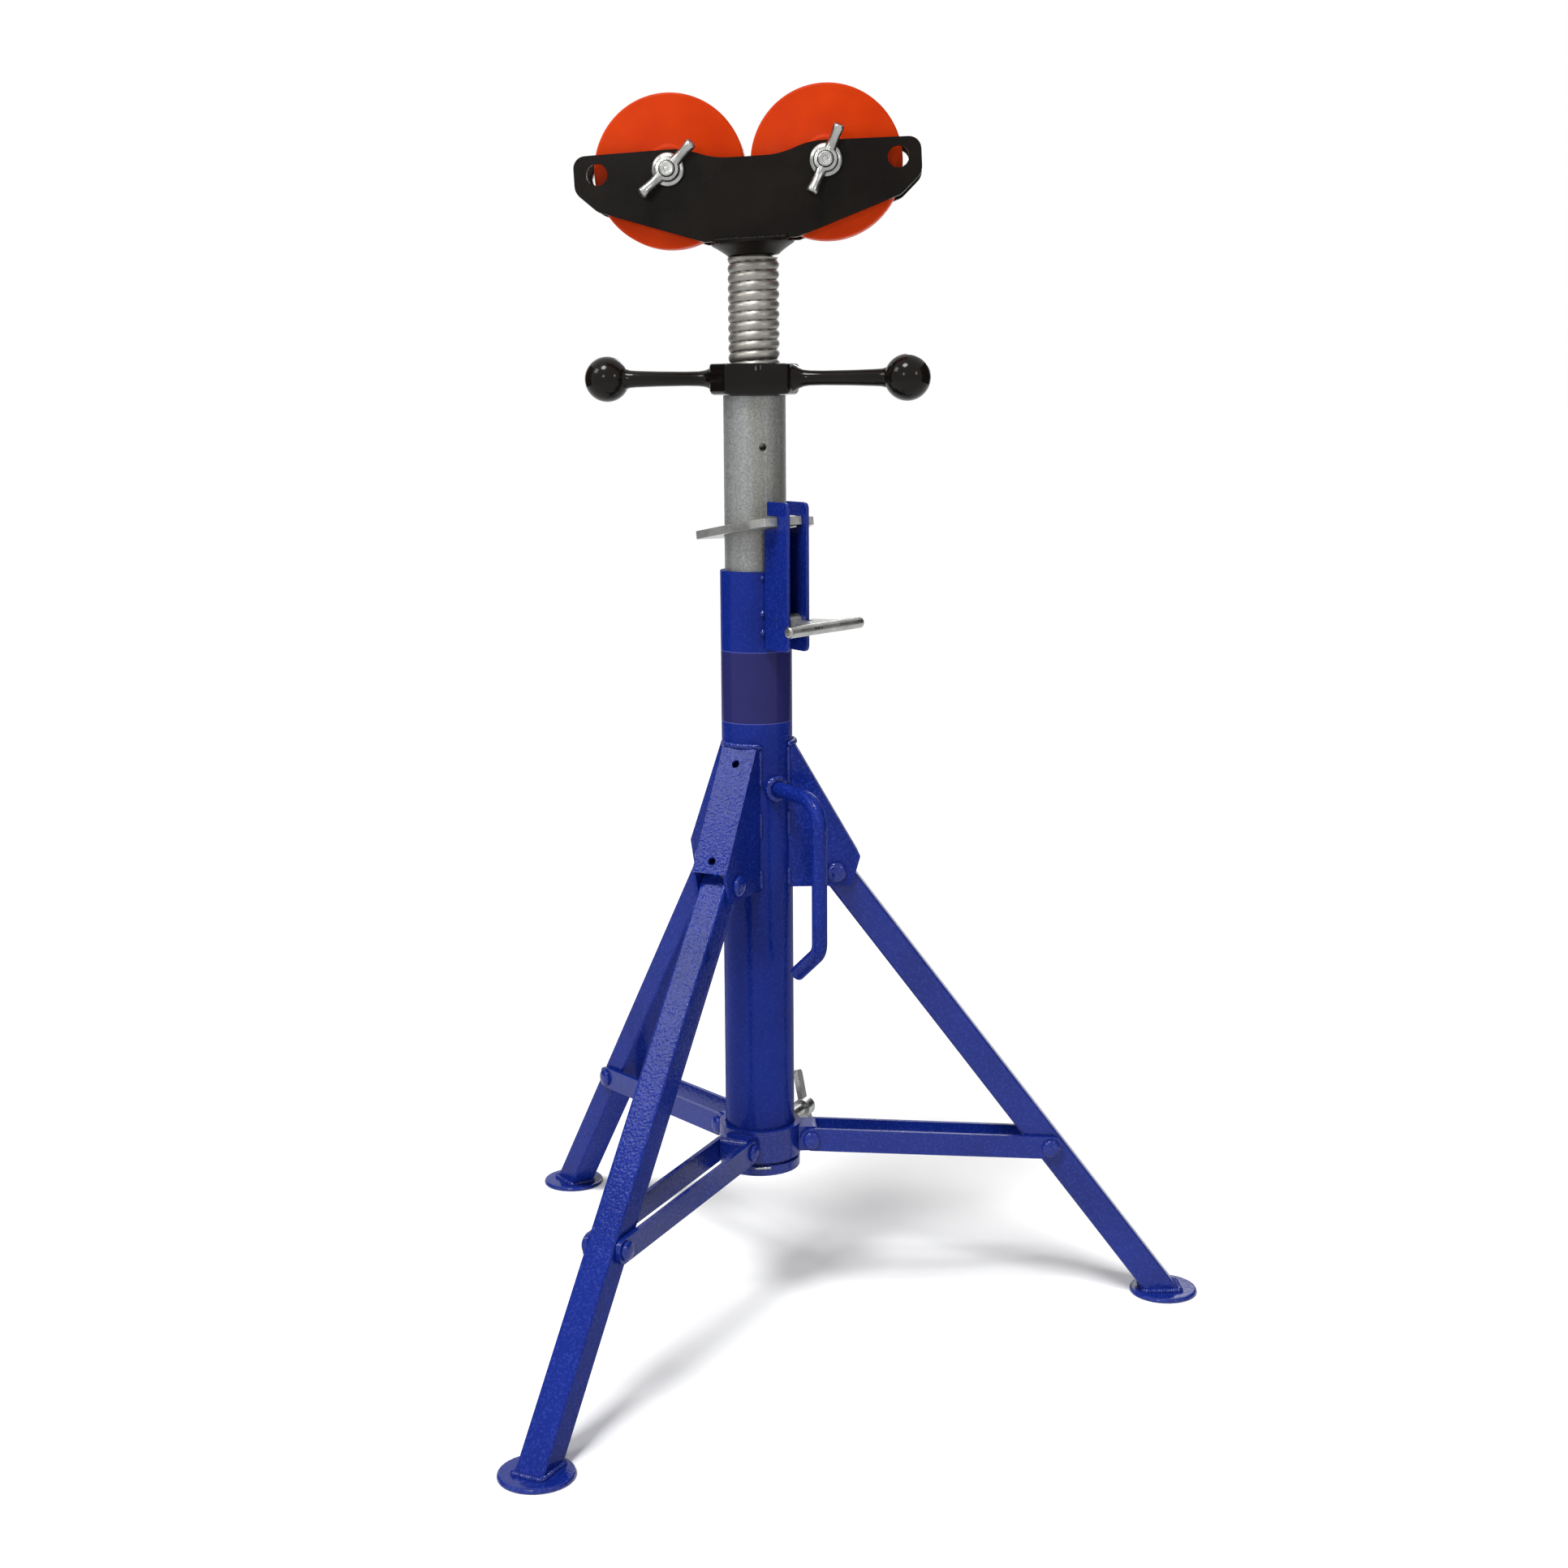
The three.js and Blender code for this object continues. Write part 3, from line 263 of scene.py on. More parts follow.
def galvanised(name):
    n = Nodes(bpy.data.materials.new(name))
    spangle = n.ramp(n.cells(520), (0.205, 0.215, 0.215), (0.29, 0.30, 0.30), 0.15, 0.75)
    streaks = n.ramp(n.noise(75, 4, (1, 1, 0.06)), (0.66, 0.58, 0.46), (1, 1, 1), 0.38, 0.60)
    dirt = n.ramp(n.noise(700, 3), (0.74, 0.74, 0.73), (1, 1, 1), 0.36, 0.58)
    colour = n.multiply(0.8, n.multiply(0.55, spangle, streaks), dirt)
    return n.finish(Base_Color=colour, Metallic=0.6, Roughness=n.span(n.noise(280, 4), 0.42, 0.62),
                    Normal=n.bump(n.noise(500, 3), 0.3, 0.0004))


def wheel_plastic(name):
    n = Nodes(bpy.data.materials.new(name))
    colour = n.ramp(n.noise(26, 3), (0.46, 0.027, 0.0005), (0.54, 0.037, 0.001))
    return n.finish(Base_Color=colour, Roughness=n.span(n.noise(120, 3), 0.36, 0.52),
                    Specular_IOR_Level=0.07, Normal=n.bump(n.noise(800, 2), 0.12, 0.0003))


# In the blues below, the share after the gloss is painted sparkle: paler grain crests that stand in for
# highlights
BLUE = blue_paint("blue_paint", gloss=0.22, painted_sparkle=0.50)
BLUE_LABEL = blue_paint("blue_paint_labelled", gloss=0.19, painted_sparkle=0.20, labelled=True)
SHINY_BLUE = blue_paint("shiny_blue_paint", gloss=0.50, painted_sparkle=0.35)
THICK_BLUE = blue_paint("thick_blue_paint", gloss=0.60, painted_sparkle=0.50)
BLACK = black_paint("black_paint", specular=0.07, wrinkle=0.25, roughness=(0.26, 0.38))
GLOSSY_BLACK = black_paint("glossy_black_paint", specular=0.15, wrinkle=0.12, roughness=(0.09, 0.17))
ZINC = zinc_plate("zinc_plate", low=(0.24, 0.245, 0.235), high=(0.41, 0.415, 0.40),
                  metallic=1.0, roughness=(0.20, 0.40), dents=0.25)
BRIGHT_ZINC = zinc_plate("bright_zinc", low=(0.26, 0.265, 0.25), high=(0.40, 0.405, 0.39),
                         metallic=0.6, roughness=(0.24, 0.36), dents=0.12)
THREAD_ZINC = zinc_plate("thread_zinc", low=(0.19, 0.18, 0.16), high=(0.31, 0.30, 0.28),
                         metallic=0.75, roughness=(0.34, 0.50), dents=0.25, shaded_grooves=True)
GALVANISED = galvanised("galvanised_steel")
ORANGE = wheel_plastic("orange_wheel")
BY_SLOT = {"blue_paint": BLUE, "black_paint": BLACK, "zinc_plate": ZINC, "galvanised_steel": GALVANISED,
           "orange_wheel": ORANGE}
SLOT_OF = {part["node"]: part["material_slot"] for part in frame["record"]["subparts"]}


# Finishes of single pieces, by how their names start; the others take their slot's material
SPECIAL_FINISH = {"outer_tube": BLUE_LABEL, "slide_collar": THICK_BLUE, "base_ring": THICK_BLUE,
                  "foot": THICK_BLUE, "strut_bar": SHINY_BLUE, "leg_c": SHINY_BLUE,
                  "lock_channel": SHINY_BLUE, "lock_plate": BRIGHT_ZINC, "lever_plate": BRIGHT_ZINC}

# Width of the broken edges, in millimetres, found in the same way
EDGE_BREAK = {"foot": 1.0, "leg_bracket": 1.2, "lock_channel": 0.8, "head_plate": 0.9,
              "slide_collar": 0.8, "outer_tube": 0.5, "inner_tube": 0.5, "lever_grip_rod": 0.6,
              "strut_bar": 0.7, "wing_screw": 1.2, "base_ring": 1.2, "axle_bolt": 0.7}
OTHER_EDGE_BREAK = 0.4


def by_start(table, name, other):
    return next((value for start, value in table.items() if name.startswith(start)), other)


# The solids keep their meshes: seams are welded, edges bevelled and normals weighted by modifiers
def dress_solids():
    for name, node in NODES.items():
        node.data.materials.clear()
        node.data.materials.append(by_start(SPECIAL_FINISH, name, BY_SLOT[SLOT_OF[name]]))
        node.data.polygons.foreach_set("use_smooth", [True] * len(node.data.polygons))
        weld_seams = node.modifiers.new("weld", "WELD")
        weld_seams.merge_threshold = 0.01 * MM
        bevel = node.modifiers.new("bevel", "BEVEL")
        bevel.width = by_start(EDGE_BREAK, name, OTHER_EDGE_BREAK) * MM
        bevel.segments = 2
        bevel.limit_method = "ANGLE"
        bevel.angle_limit = math.radians(38)
        normals = node.modifiers.new("normals", "WEIGHTED_NORMAL")
        normals.keep_sharp = False


# Meshes in code, drawn in millimetres in a local frame
def piece(name, verts, faces, matrix, material, body, replaces=(), sharp=40):
    """An object that rides on a body; edges that turn by more than sharp degrees stay sharp."""
    mesh = bpy.data.meshes.new(name)
    mesh.from_pydata([tuple(v) for v in verts], [], faces)
    mesh.transform(matrix)
    made = bmesh.new()
    made.from_mesh(mesh)
    bmesh.ops.remove_doubles(made, verts=made.verts, dist=1e-6)
    bmesh.ops.recalc_face_normals(made, faces=made.faces)
    for face in made.faces:
        face.smooth = True
    for edge in made.edges:
        edge.smooth = not edge.is_manifold or edge.calc_face_angle(0) < math.radians(sharp)
    made.to_mesh(mesh)
    made.free()
    mesh.materials.append(material)
    made_object = bpy.data.objects.new(name, mesh)
    bpy.context.scene.collection.objects.link(made_object)
    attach(made_object, body)
    if replaces:
        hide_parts(*replaces)


def join(*shapes):
    verts, faces = [], []
    for shape_verts, shape_faces in shapes:
        base = len(verts)
        verts += list(shape_verts)
        faces += [[base + i for i in face] for face in shape_faces]
    return verts, faces


def moved(shape, matrix):
    return [matrix @ Vector(v) for v in shape[0]], shape[1]


def circle(radius, height, sides):
    turns = [2 * math.pi * side / sides for side in range(sides)]
    return [(radius * math.cos(t), radius * math.sin(t), height) for t in turns]


def arc(centre, radius, start, end, steps):
    turns = [math.radians(start + (end - start) * i / steps) for i in range(steps + 1)]
    return [(centre[0] + radius * math.cos(t), centre[1] + radius * math.sin(t)) for t in turns]


def grid_faces(rows, columns, closed=False):
    """Faces between rows of points that each run round; a closed grid joins its last row to the first."""
    faces = []
    for row in range(rows if closed else rows - 1):
        for column in range(columns):
            ahead, beside = (row + 1) % rows, (column + 1) % columns
            faces.append([row * columns + column, row * columns + beside,
                          ahead * columns + beside, ahead * columns + column])
    if not closed:
        faces.append(list(range(columns - 1, -1, -1)))
        faces.append(list(range((rows - 1) * columns, rows * columns)))
    return faces


def lathe(profile, sides=64, closed=False):
    """A profile of (radius, height) turned about Z."""
    verts = []
    for radius, height in profile:
        verts += circle(radius, height, sides)
    return verts, grid_faces(len(profile), sides, closed)


def sweep(points, radii, sides, closed=False, flat=1.0, up=(0, 0, 1)):
    """A round or flattened bar along points; radii has one radius for each point."""
    points = [Vector(p) for p in points]
    verts = []
    for i, point in enumerate(points):
        before = points[i - 1] if i or closed else point
        after = points[(i + 1) % len(points)] if i + 1 < len(points) or closed else point
        along = (after - before).normalized()
        side = along.cross(Vector(up))
        side = side.normalized() if side.length > 1e-6 else along.orthogonal().normalized()
        over = side.cross(along)
        for k in range(sides):
            angle = 2 * math.pi * k / sides
            across = side * (radii[i] * math.cos(angle))
            rise = over * (radii[i] * flat * math.sin(angle))
            verts.append(point + across + rise)
    return verts, grid_faces(len(points), sides, closed)


def rounded_path(corners, steps=12):
    """Points along corners written as ((x, y, z), bend radius)."""
    points = [Vector(corners[0][0])]
    for (before, _), (corner, radius), (after, _) in zip(corners, corners[1:], corners[2:]):
        corner = Vector(corner)
        back = (Vector(before) - corner).normalized()
        ahead = (Vector(after) - corner).normalized()
        turn = math.pi - back.angle(ahead)
        start = corner + back * radius * math.tan(turn / 2)
        centre = corner + (back + ahead).normalized() * radius / math.cos(turn / 2)
        axis = (start - centre).cross(-back)
        for i in range(steps + 1):
            points.append(centre + Matrix.Rotation(turn * i / steps, 3, axis) @ (start - centre))
    points.append(Vector(corners[-1][0]))
    return points


def resample(points, gap, closed=False):
    points = [Vector(p) for p in points]
    if closed:
        points.append(points[0])
    made = [points[0]]
    for start, end in zip(points, points[1:]):
        count = max(1, round((end - start).length / gap))
        made += [start.lerp(end, (i + 1) / count) for i in range(count)]
    return made[:-1] if closed else made


# Jack screw: the rounded thread drawn finely, and the plain spigot inside the head's funnel
THREAD_SIDES, THREAD_ROWS_A_TURN = 72, 14
CREST_WIDTH_POWER = 0.36


def make_stem():
    length = STEM_TOP - STEM_BOTTOM
    rows = round(length / THREAD_PITCH * THREAD_ROWS_A_TURN)
    verts = []
    for row in range(rows + 1):
        height = STEM_BOTTOM + length * row / rows
        for side in range(THREAD_SIDES):
            phase = 2 * math.pi * (height / THREAD_PITCH - side / THREAD_SIDES)
            wave = (0.5 + 0.5 * math.cos(phase)) ** CREST_WIDTH_POWER
            radius = THREAD_ROOT + (THREAD_CREST - THREAD_ROOT) * wave
            angle = 2 * math.pi * side / THREAD_SIDES
            verts.append((radius * math.cos(angle), radius * math.sin(angle), height))
    verts += circle(SPIGOT_RADIUS, STEM_TOP, THREAD_SIDES)
    verts += circle(SPIGOT_RADIUS, SPIGOT_TOP, THREAD_SIDES)
    piece("stem_thread", verts, grid_faces(rows + 3, THREAD_SIDES), column_matrix(), THREAD_ZINC,
          "head", ("screw_stem",), 60)


# Adjusting nut: octagonal hub with a round bore, flared arms and smooth balls
NUT_SIDES = 96
NUT_BORE = THREAD_CREST + 0.9
ARM_NECK = 8.6
ARM_FLARE = [(11.5, 33.2), (10.2, 36.5), (8.2, 39.5), (6.9, 43), (6.2, 48), (5.95, 60), (6.3, 85),
             (6.9, 104), (7.3, 110), (8.2, 113)]


def octagon_reach(angle):
    """How far the octagon's side lies from its middle, as a share of its corner's reach."""
    eighth = math.pi / 8
    turn = math.radians(NUT_AZIMUTH) + eighth
    return math.cos(eighth) / math.cos((angle - turn) % (2 * eighth) - eighth)


def make_nut():
    outer = [(NUT_CORNER - 3.5, NUT_BOTTOM), (NUT_CORNER - 1.4, NUT_BOTTOM + 1.0),
             (NUT_CORNER, NUT_BOTTOM + 3.5), (NUT_CORNER, NUT_TOP - 2.2),
             (NUT_CORNER - 0.6, NUT_TOP - 0.6), (NUT_CORNER - 2.2, NUT_TOP)]
    inner = [(NUT_BORE + 1.2, NUT_TOP), (NUT_BORE, NUT_TOP - 1.2), (NUT_BORE, NUT_BOTTOM)]
    verts = []
    for corner, height in outer:
        for k in range(NUT_SIDES):
            angle = 2 * math.pi * k / NUT_SIDES
            reach = corner * octagon_reach(angle)
            verts.append((reach * math.cos(angle), reach * math.sin(angle), height))
    for radius, height in inner:
        verts += circle(radius, height, NUT_SIDES)
    hub = (verts, grid_faces(len(outer) + len(inner), NUT_SIDES, True))

    ball_start = math.degrees(math.acos(ARM_NECK / BALL_RADIUS))
    ball = arc((0, BALL_REACH), BALL_RADIUS, -ball_start, 90, 22)
    arm = lathe(ARM_FLARE + ball[:-1] + [(0.4, BALL_REACH + BALL_RADIUS)], 40)
    arms = []
    for half_turn in (0, 180):
        lift = Matrix.Translation((0, 0, NUT_ARM_Z))
        turn = Matrix.Rotation(math.radians(NUT_AZIMUTH + half_turn), 4, "Z")
        arms.append(moved(arm, lift @ turn @ Matrix.Rotation(math.pi / 2, 4, "Y")))
    verts, faces = join(hub, *arms)
    piece("nut_casting", verts, faces, column_matrix(), GLOSSY_BLACK, "adjusting_nut",
          ("adjusting_nut",), 35)


# Wheels, with a raised boss and rounded tread edges, in a frame whose Z runs along the axle
def axle_frame(end):
    place = Matrix.Translation((end * AXLE_HALF, 0, AXLE_Z))
    return head_matrix() @ place @ Matrix.Rotation(math.pi / 2, 4, "X")


def make_wheels():
    bore, edge = 10.3, 2.4
    tread = arc((WHEEL_RADIUS - edge, WHEEL_HALF - edge), edge, 0, 90, 6)
    boss = [(bore, BOSS_HALF), (BOSS_RADIUS - 2, BOSS_HALF), (BOSS_RADIUS - 1, BOSS_HALF - 0.3),
            (BOSS_RADIUS - 0.3, BOSS_HALF - 1), (BOSS_RADIUS, WHEEL_HALF + 0.5),
            (BOSS_RADIUS + 1, WHEEL_HALF)]
    upper = boss + tread[::-1]
    lower = [(radius, -height) for radius, height in reversed(upper)]
    for name, end in (("left", -1), ("right", 1)):
        verts, faces = lathe(upper + lower, 128, True)
        piece(f"wheel_tread_{name}", verts, faces, axle_frame(end), ORANGE,
              f"wheel_{name}", (f"wheel_{name}",), 35)


# Wing nuts on the axle bolts, each a flanged hub with two wings, and the bolts' dimpled ends
NEAR_AXIS = 0.05
WING_HUB = [(6.5, 0.2), (12.9, 0.2), (13.4, 0.8), (13.4, 3.2), (12.7, 4.2), (10.4, 5.2), (9.8, 10.2),
            (9.2, 11.1), (6.8, 11.3), (6.5, 10.8)]
WING_LINE = [(7.5, 6.2), (10, 6.6), (13, 7.4), (16, 8.4), (19, 9.4), (21.5, 10.2), (23.5, 10.9),
             (25.3, 11.4), (26.8, 11.8), (28.0, 12.1), (28.7, 12.3)]
WING_RADII = [5.8, 5.5, 5.0, 4.7, 4.7, 4.9, 5.2, 5.4, 5.4, 5.2, 4.4]
WING_FLATNESS = 0.86
WING_TURNS = {"left": 41, "right": 64}


def make_wing_nuts():
    for name, end in (("left", -1), ("right", 1)):
        shapes = [lathe(WING_HUB, 48, True)]
        for side in (1, -1):
            line = [(side * reach, 0, height) for reach, height in WING_LINE]
            shapes.append(sweep(line, WING_RADII, 20, False, WING_FLATNESS, (0, 1, 0)))
        verts, faces = join(*shapes)
        seat = Matrix.Translation((0, 0, PLATE_OUTER + 0.2))
        turn = Matrix.Rotation(math.radians(WING_TURNS[name]), 4, "Z")
        piece(f"wing_nut_{name}_forged", verts, faces, axle_frame(end) @ seat @ turn, ZINC,
              f"wing_nut_{name}", (f"axle_wing_nut_{name}",), 50)
        tip = [(NEAR_AXIS, BOLT_END - 1.6), (1.6, BOLT_END - 1.4), (2.4, BOLT_END - 0.1), (4.9, BOLT_END),
               (5.9, BOLT_END - 0.8), (BOLT_RADIUS, BOLT_FACE), (NEAR_AXIS, BOLT_FACE)]
        verts, faces = lathe(tip[::-1], 40)
        piece(f"bolt_tip_{name}", verts, faces, axle_frame(end), ZINC, "head", (), 40)


# Funnel-shaped hub under the head plates
FUNNEL_BORE = 17.0
FUNNEL_PROFILE = [(FUNNEL_BORE, 910.7), (20.6, 910.7), (21.6, 911.3), (22.4, 912.2), (25.6, 914.6),
                  (30.4, 917.8), (33.2, 919.4), (34.2, 920.3), (34.2, 921.3), (33.5, 922.0),
                  (FUNNEL_BORE, 922.0)]


def make_funnel():
    verts, faces = lathe(FUNNEL_PROFILE, 96, True)
    piece("funnel_cup", verts, faces, head_matrix(), BLACK, "head", ("head_hub",), 40)


# Pivot bolts, strut pins and rivets with smooth domed heads
DOME_WALL_SHARE = 0.3


def domed_pin(node, azimuth, reach, height, shank, head, rise, ends):
    """A pin across a spoke. Each of its two ends is (face, domed): a domed end has a head on its face."""
    profile = []
    for face, domed in ends:
        side = 1 if face > 0 else -1
        cap = [(head, face), (head, face + side * DOME_WALL_SHARE * rise)]
        for step in range(1, 7):
            turn = math.radians(15 * step)
            share = DOME_WALL_SHARE + (1 - DOME_WALL_SHARE) * math.sin(turn)
            cap.append((max(NEAR_AXIS, head * math.cos(turn)), face + side * rise * share))
        end = [(shank, face)] + cap if domed else [(shank, face), (NEAR_AXIS, face)]
        profile += end if profile else end[::-1]
    across = Matrix.Translation((reach, 0, height)) @ Matrix.Rotation(-math.pi / 2, 4, "X")
    verts, faces = lathe(profile, 40)
    piece(f"{node}_smooth", verts, faces, column_matrix(azimuth) @ across, THICK_BLUE,
          BODY_OF[node], (node,), 50)


def make_pins():
    for letter, azimuth in LEG_AZIMUTHS.items():
        domed_pin(f"leg_pivot_bolt_{letter}", azimuth, PIVOT_REACH, PIVOT_HEIGHT,
                  shank=5, head=9, rise=5, ends=((-BRACKET_FACE, True), (BRACKET_FACE, True)))
        domed_pin(f"strut_pin_{letter}", azimuth, STRUT_PIN_REACH, STRUT_PIN_HEIGHT,
                  shank=4, head=7.5, rise=4, ends=((-STRUT_FACE, True), (STRUT_FACE, True)))
        domed_pin(f"strut_rivet_{letter}_left", azimuth, RIVET_REACH, RIVET_HEIGHT,
                  shank=4, head=8, rise=4, ends=((RIVET_START, False), (STRUT_FACE, True)))
        domed_pin(f"strut_rivet_{letter}_right", azimuth, RIVET_REACH, RIVET_HEIGHT,
                  shank=4, head=8, rise=4, ends=((-STRUT_FACE, True), (-RIVET_START, False)))


# Carry handle: one smooth bent bar, its free end a little rounded
HANDLE_END_ROUNDING = 0.9
HANDLE_END_LENGTH = 0.5


def make_handle():
    path = rounded_path([((OUTER_RADIUS + 0.25, 0, HANDLE_TOP), 0),
                         ((HANDLE_REACH, 0, HANDLE_TOP - HANDLE_BEND_DROP), HANDLE_UPPER_BEND),
                         ((HANDLE_REACH, 0, HANDLE_TOP - HANDLE_HOOK_DROP), HANDLE_LOWER_BEND),
                         ((HANDLE_END_REACH, 0, HANDLE_TOP - HANDLE_END_DROP), 0)])
    path = resample(path, 4)
    along = (path[-1] - path[-2]).normalized()
    radii = [HANDLE_RADIUS] * len(path) + [HANDLE_RADIUS - HANDLE_END_ROUNDING]
    path.append(path[-1] + along * HANDLE_END_LENGTH)
    verts, faces = sweep(path, radii, 32, up=(0, 1, 0))
    piece("handle_bar", verts, faces, column_matrix(HANDLE_AZIMUTH), BLUE, "column",
          ("carry_handle",), 50)


# Weld beads, each with its own ripples and uneven run
BEAD_STEP = 0.55
BEAD_SIDES = 10
RIPPLE_LENGTH = 2.2
DRIFT_KEPT, DRIFT_NEW, DRIFT_SHARE = 0.85, 0.15, 0.45


def bead(points, radius, closed, rough, up):
    """A weld bead, half sunk in the faces that it joins; rough is how deep its ripples are."""
    points = resample(points, BEAD_STEP, closed)
    radii, length, drift = [], 0.0, 0.0
    for i, point in enumerate(points):
        length += (point - points[i - 1]).length if i else 0
        drift = DRIFT_KEPT * drift + DRIFT_NEW * random.uniform(-1, 1)
        wave = abs(math.sin(math.pi * length / RIPPLE_LENGTH))
        size = radius * (1 - rough + rough * wave + DRIFT_SHARE * drift)
        if not closed:
            to_end = min(i, len(points) - 1 - i) * BEAD_STEP
            size *= min(1, math.sqrt((to_end + 0.15) / radius))
        radii.append(size)
    return sweep(points, radii, BEAD_SIDES, closed, up=up)


def weld(name, points, radius, body, azimuth=0.0, material=THICK_BLUE, closed=False,
         matrix=None, up=(0, 0, 1), rough=0.16):
    verts, faces = bead(points, radius, closed, rough, up)
    piece(name, verts, faces, matrix or column_matrix(azimuth), material, body, (), 80)


def on_tube(start, end, height, radius):
    """Points round the column's axis from one azimuth to another, about 3 degrees apart."""
    return [(x, y, height) for x, y in arc((0, 0), radius, start, end, max(2, int(abs(end - start) / 3)))]


def tube_reach(y, lift):
    """How far out the outer tube's skin lies beside its axis, plus how far a bead stands off it."""
    return math.sqrt(OUTER_RADIUS ** 2 - y ** 2) + lift


def bracket_welds(letter, azimuth):
    half_angle = math.degrees(math.asin(BRACKET_WELD_HALF / OUTER_RADIUS)) + 3
    run = on_tube(-half_angle, half_angle, BRACKET_WELD_TOP, OUTER_RADIUS + 1.1)
    weld(f"bracket_weld_top_{letter}", run, 3.1, "column", azimuth)
    for side, name in ((1, "left"), (-1, "right")):
        y = side * (BRACKET_WELD_HALF + 0.4)
        x = tube_reach(y, 0.6)
        for part, low, high in (("upper", 472, 504), ("middle", 428, 450), ("lower", 384, 400)):
            weld(f"bracket_weld_{part}_{letter}_{name}", [(x, y, low), (x, y, high)], 1.9, "column",
                 azimuth, up=(1, 0, 0))


def foot_weld(letter, azimuth):
    """A bead round the leg where it meets its foot, cut short at the corners."""
    close, apart = 0.05, 0.16
    half_length = LEG_HALF / LEG_COSINE
    middle = FOOT_REACH - FOOT_TOP * LEG_SINE / LEG_COSINE
    corners = [(middle + half_length, LEG_HALF), (middle - half_length, LEG_HALF),
               (middle - half_length, -LEG_HALF), (middle + half_length, -LEG_HALF)]
    points = []
    for i, (x, y) in enumerate(corners):
        before, after = corners[i - 1], corners[(i + 1) % 4]
        for step, other in ((apart, before), (close, before), (close, after), (apart, after)):
            points.append((x + (other[0] - x) * step, y + (other[1] - y) * step, FOOT_TOP + 0.4))
    weld(f"foot_weld_{letter}", points, 2.9, f"leg_{letter}", azimuth, closed=True, rough=0.3)


def handle_weld():
    ring = circle(HANDLE_RADIUS + 1.7, 0, 28)
    points = [(tube_reach(y, 1.4), y, HANDLE_TOP + z) for y, z, _ in ring]
    weld("handle_weld", points, 4.0, "column", HANDLE_AZIMUTH, closed=True, up=(1, 0, 0))


def channel_welds():
    for name, side in (("left", 1), ("right", -1)):
        y = side * CHANNEL_WELD_HALF
        x = tube_reach(y, 0.7)
        for part, low, high in (("low", 600, 606), ("middle", 616, 622), ("high", 646, 651)):
            weld(f"channel_weld_{part}_{name}", [(x, y, low), (x, y, high)], 3.2, "column",
                 LOCK_AZIMUTH, up=(1, 0, 0))


def base_ring_welds():
    run = on_tube(0, 360, BASE_RING_TOP + 0.2, OUTER_RADIUS + 0.6)[:-1]
    weld("base_ring_weld", run, 1.8, "column", closed=True)
    bare = on_tube(-100, -76, BASE_RING_TOP - 1.9, BASE_RING_RADIUS)
    weld("base_ring_bare_weld", bare, 1.2, "column", material=ZINC)


def plate_welds():
    for name, side in (("near", -1), ("far", 1)):
        y = side * (PLATE_OUTER + 0.6)
        ends = [(-PLATE_WELD_HALF, y, PLATE_WELD_Z), (PLATE_WELD_HALF, y, PLATE_WELD_Z)]
        weld(f"plate_weld_{name}", ends, 2.6, "head", material=BLACK,
             matrix=head_matrix(), up=(0, 1, 0))


def lever_welds():
    """Two thin beads over and under the lever's plate, along the rod across its end."""
    near, far = Vector((101, -33.6, 610.5)), Vector((90, 45.6, 613.5))
    along = (far - near).normalized()
    inward = Vector((-along.y, along.x, 0)).normalized() * 4.2
    for name, height in (("over", 3.0), ("under", -3.0)):
        shift = inward + Vector((0, 0, height))
        ends = [near.lerp(far, share) + shift for share in (0.17, 0.92)]
        weld(f"lever_weld_{name}", ends, 1.5, "lever", LOCK_AZIMUTH, ZINC)


def make_welds():
    for letter, azimuth in LEG_AZIMUTHS.items():
        bracket_welds(letter, azimuth)
        foot_weld(letter, azimuth)
    handle_weld()
    channel_welds()
    base_ring_welds()
    plate_welds()
    lever_welds()


# Stage, light and camera, in metres
def stage_plane(name, corners, material, place, facing=0.0):
    mesh = bpy.data.meshes.new(name)
    mesh.from_pydata(corners, [], [(0, 1, 2, 3)])
    mesh.materials.append(material)
    plane = bpy.data.objects.new(name, mesh)
    plane.location = place
    plane.rotation_euler.z = math.radians(facing)
    bpy.context.scene.collection.objects.link(plane)
    return plane


def make_floor():
    """A pale floor, a hair under the feet, that glows a little where it is seen."""
    half, glow = 60, 0.125
    n = Nodes(bpy.data.materials.new("pale_floor"))
    n.finish(Base_Color=(0.92, 0.92, 0.92), Roughness=0.85, Specular_IOR_Level=0.1,
             Emission_Color=(1, 1, 1), Emission_Strength=n.math("MULTIPLY", n.seen(), glow))
    corners = [(-half, -half, 0), (half, -half, 0), (half, half, 0), (-half, half, 0)]
    stage_plane("floor", corners, n.owner, (0, 0, -0.0002))


def make_world():
    """White where it is seen, and dim as a light."""
    light_strength, seen_strength = 0.15, 1.0
    world = bpy.data.worlds.new("studio")
    n = Nodes(world)
    background = n.tree.nodes["Background"]
    background.inputs["Color"].default_value = (1, 1, 1, 1)
    strength = n.span(n.seen(), light_strength, seen_strength, 0, 1)
    n.tree.links.new(strength, background.inputs["Strength"])
    bpy.context.scene.world = world


def dark_card(name, centre, half_size, facing):
    """A studio flag that only reflections see, which gives round metal its darker edges."""
    n = Nodes(bpy.data.materials.new(name))
    n.finish(Base_Color=(0.05, 0.05, 0.055), Roughness=0.9, Specular_IOR_Level=0.0)
    wide, tall = half_size
    corners = [(-wide, 0, -tall), (wide, 0, -tall), (wide, 0, tall), (-wide, 0, tall)]
    card = stage_plane(name, corners, n.owner, centre, facing)
    card.visible_camera = False
    card.visible_diffuse = False
    card.visible_shadow = False


def aim(thing, target):
    thing.rotation_euler = (Vector(target) - thing.location).to_track_quat("-Z", "Y").to_euler()


def lamp(name, light, place, target):
    made = bpy.data.objects.new(name, light)
    made.location = place
    aim(made, target)
    bpy.context.scene.collection.objects.link(made)
    return made


def softbox(name, place, target, size, watts):
    light = bpy.data.lights.new(name, "AREA")
    light.shape = "RECTANGLE"
    light.size, light.size_y = size
    light.energy = watts
    lamp(name, light, place, target).visible_camera = False


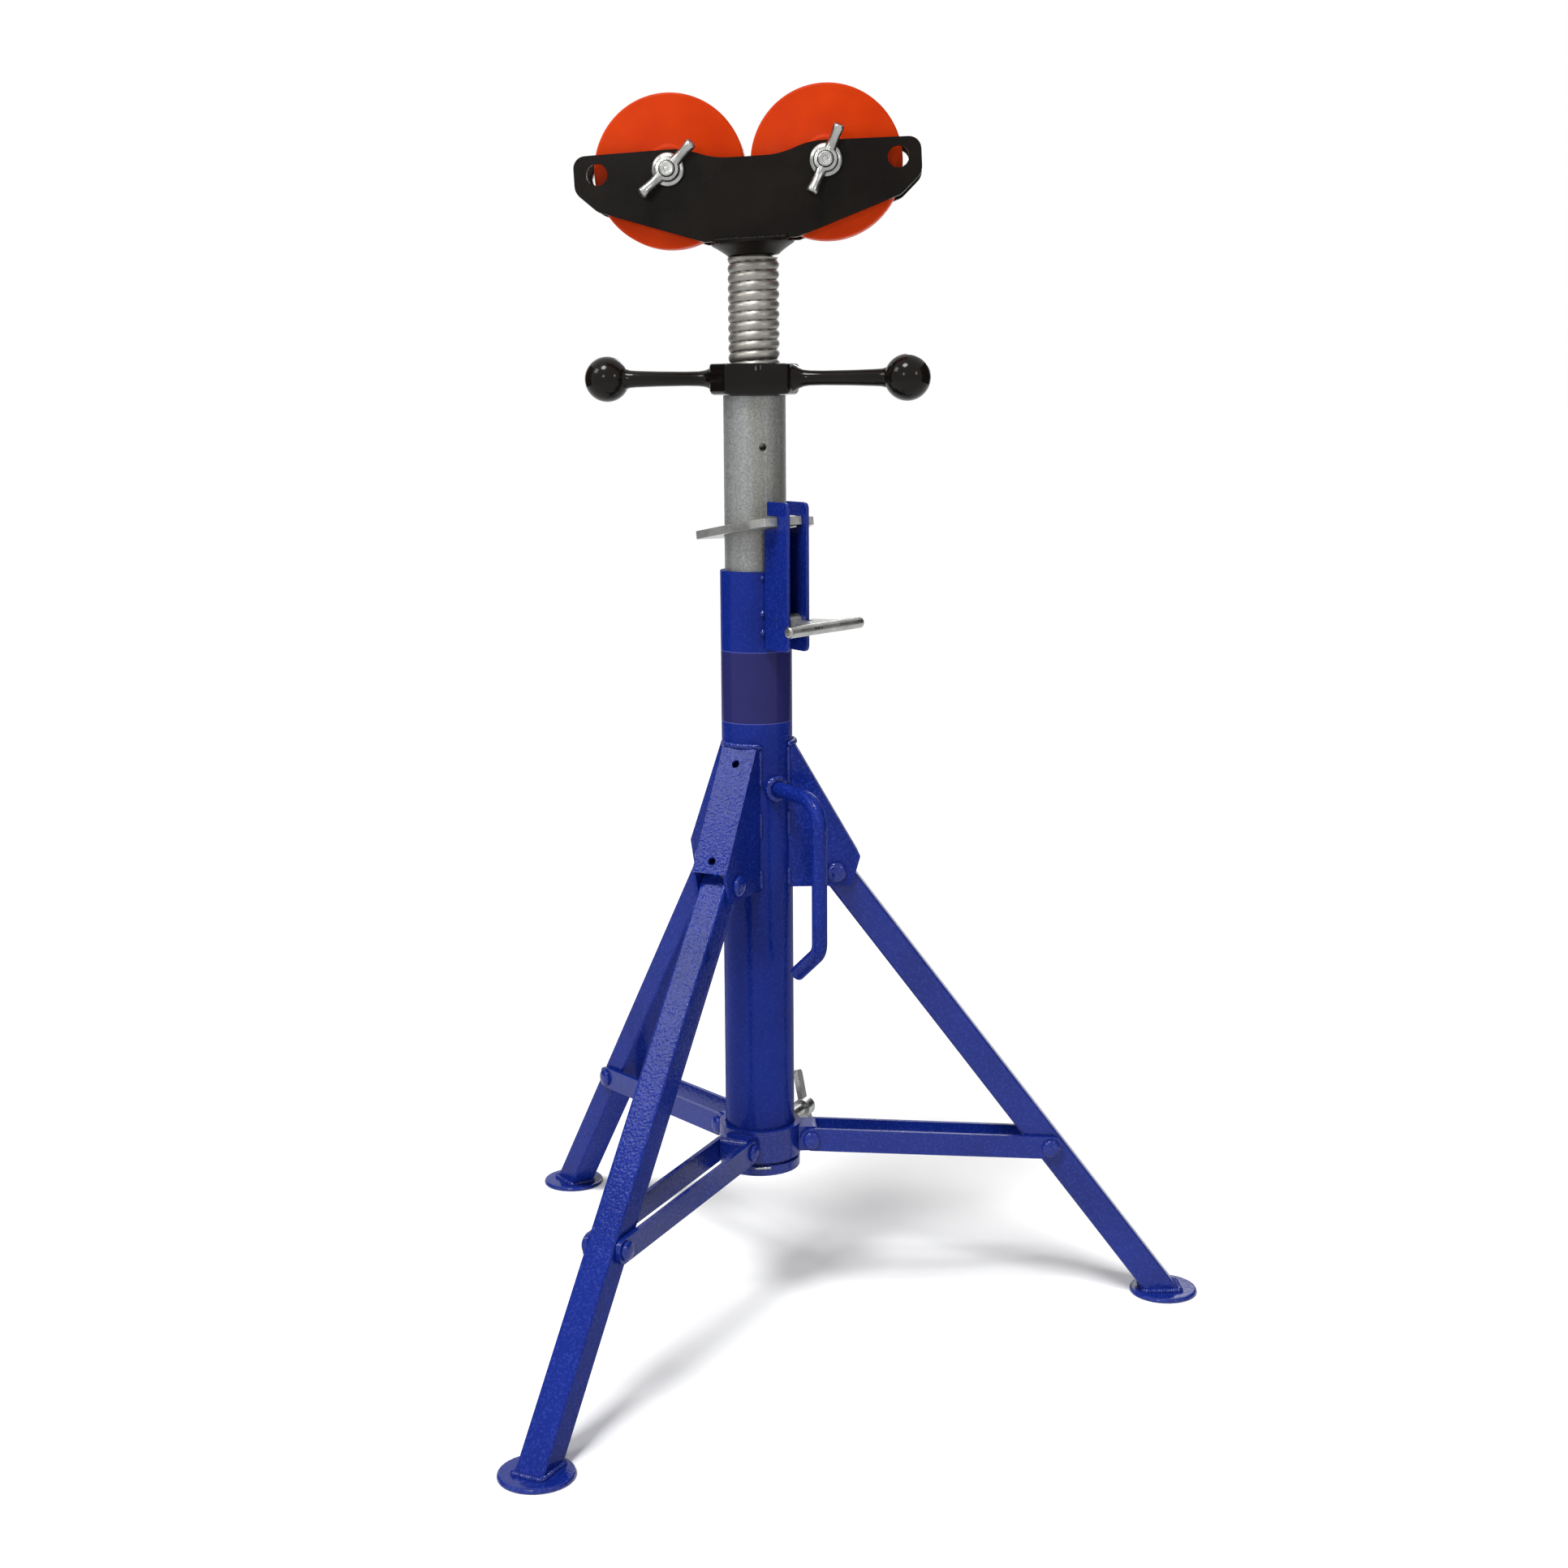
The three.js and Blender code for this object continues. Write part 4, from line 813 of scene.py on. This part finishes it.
def make_lights():
    sun = bpy.data.lights.new("soft_sky", "SUN")
    sun.energy = 2.96
    sun.angle = math.radians(19)
    lamp("soft_sky", sun, (-0.7, -1.3, 2.6), (0, 0, 0))
    softbox("front_softbox", (-1.0, -2.3, 1.5), target=(-0.09, 0, 0.6), size=(0.18, 0.30), watts=7.2)
    softbox("key_softbox", (-1.45, -0.48, 1.80), target=(-0.15, -0.1, 0.4), size=(0.52, 0.52), watts=8.6)
    softbox("back_softbox", (0.7, 2.4, 1.7), target=(-0.09, 0, 0.55), size=(0.9, 1.2), watts=13)
    softbox("side_softbox", (1.46, -1.76, 1.55), target=(-0.09, 0, 0.5), size=(0.14, 0.34), watts=5.8)


def make_camera():
    """The photo's camera: its place, its turn about Z, how far it looks down, and its roll."""
    place = ((COLUMN_X - 65.9) * MM, -1.8670, 0.8040)
    turn, down, roll = math.radians(-2.72), math.radians(10.16), math.radians(-0.329)
    camera = bpy.data.cameras.new("camera")
    camera.sensor_width = 36
    camera.lens = 50.817
    camera.clip_start, camera.clip_end = 0.05, 200
    turning = Matrix.Rotation(turn, 3, "Z")
    ahead = turning @ Vector((0, math.cos(down), -math.sin(down)))
    level = turning @ Vector((1, 0, 0))
    over = turning @ Vector((0, math.sin(down), math.cos(down)))
    right = level * math.cos(roll) + over * math.sin(roll)
    up = over * math.cos(roll) - level * math.sin(roll)
    axes = Matrix((right, up, -ahead)).transposed().to_4x4()
    eye = bpy.data.objects.new("camera", camera)
    eye.matrix_world = Matrix.Translation(place) @ axes
    bpy.context.scene.collection.objects.link(eye)
    bpy.context.scene.camera = eye


make_camera()
make_floor()
make_world()
make_lights()
dark_card("left_card", (-2.5, 1.8, 0.9), half_size=(1.8, 1.8), facing=90)
dark_card("right_card", (2.5, 1.1, 0.9), half_size=(2.1, 1.8), facing=-90)
dress_solids()
make_stem()
make_nut()
make_wheels()
make_wing_nuts()
make_funnel()
make_pins()
make_handle()
make_welds()
bpy.context.scene.view_settings.view_transform = "Standard"
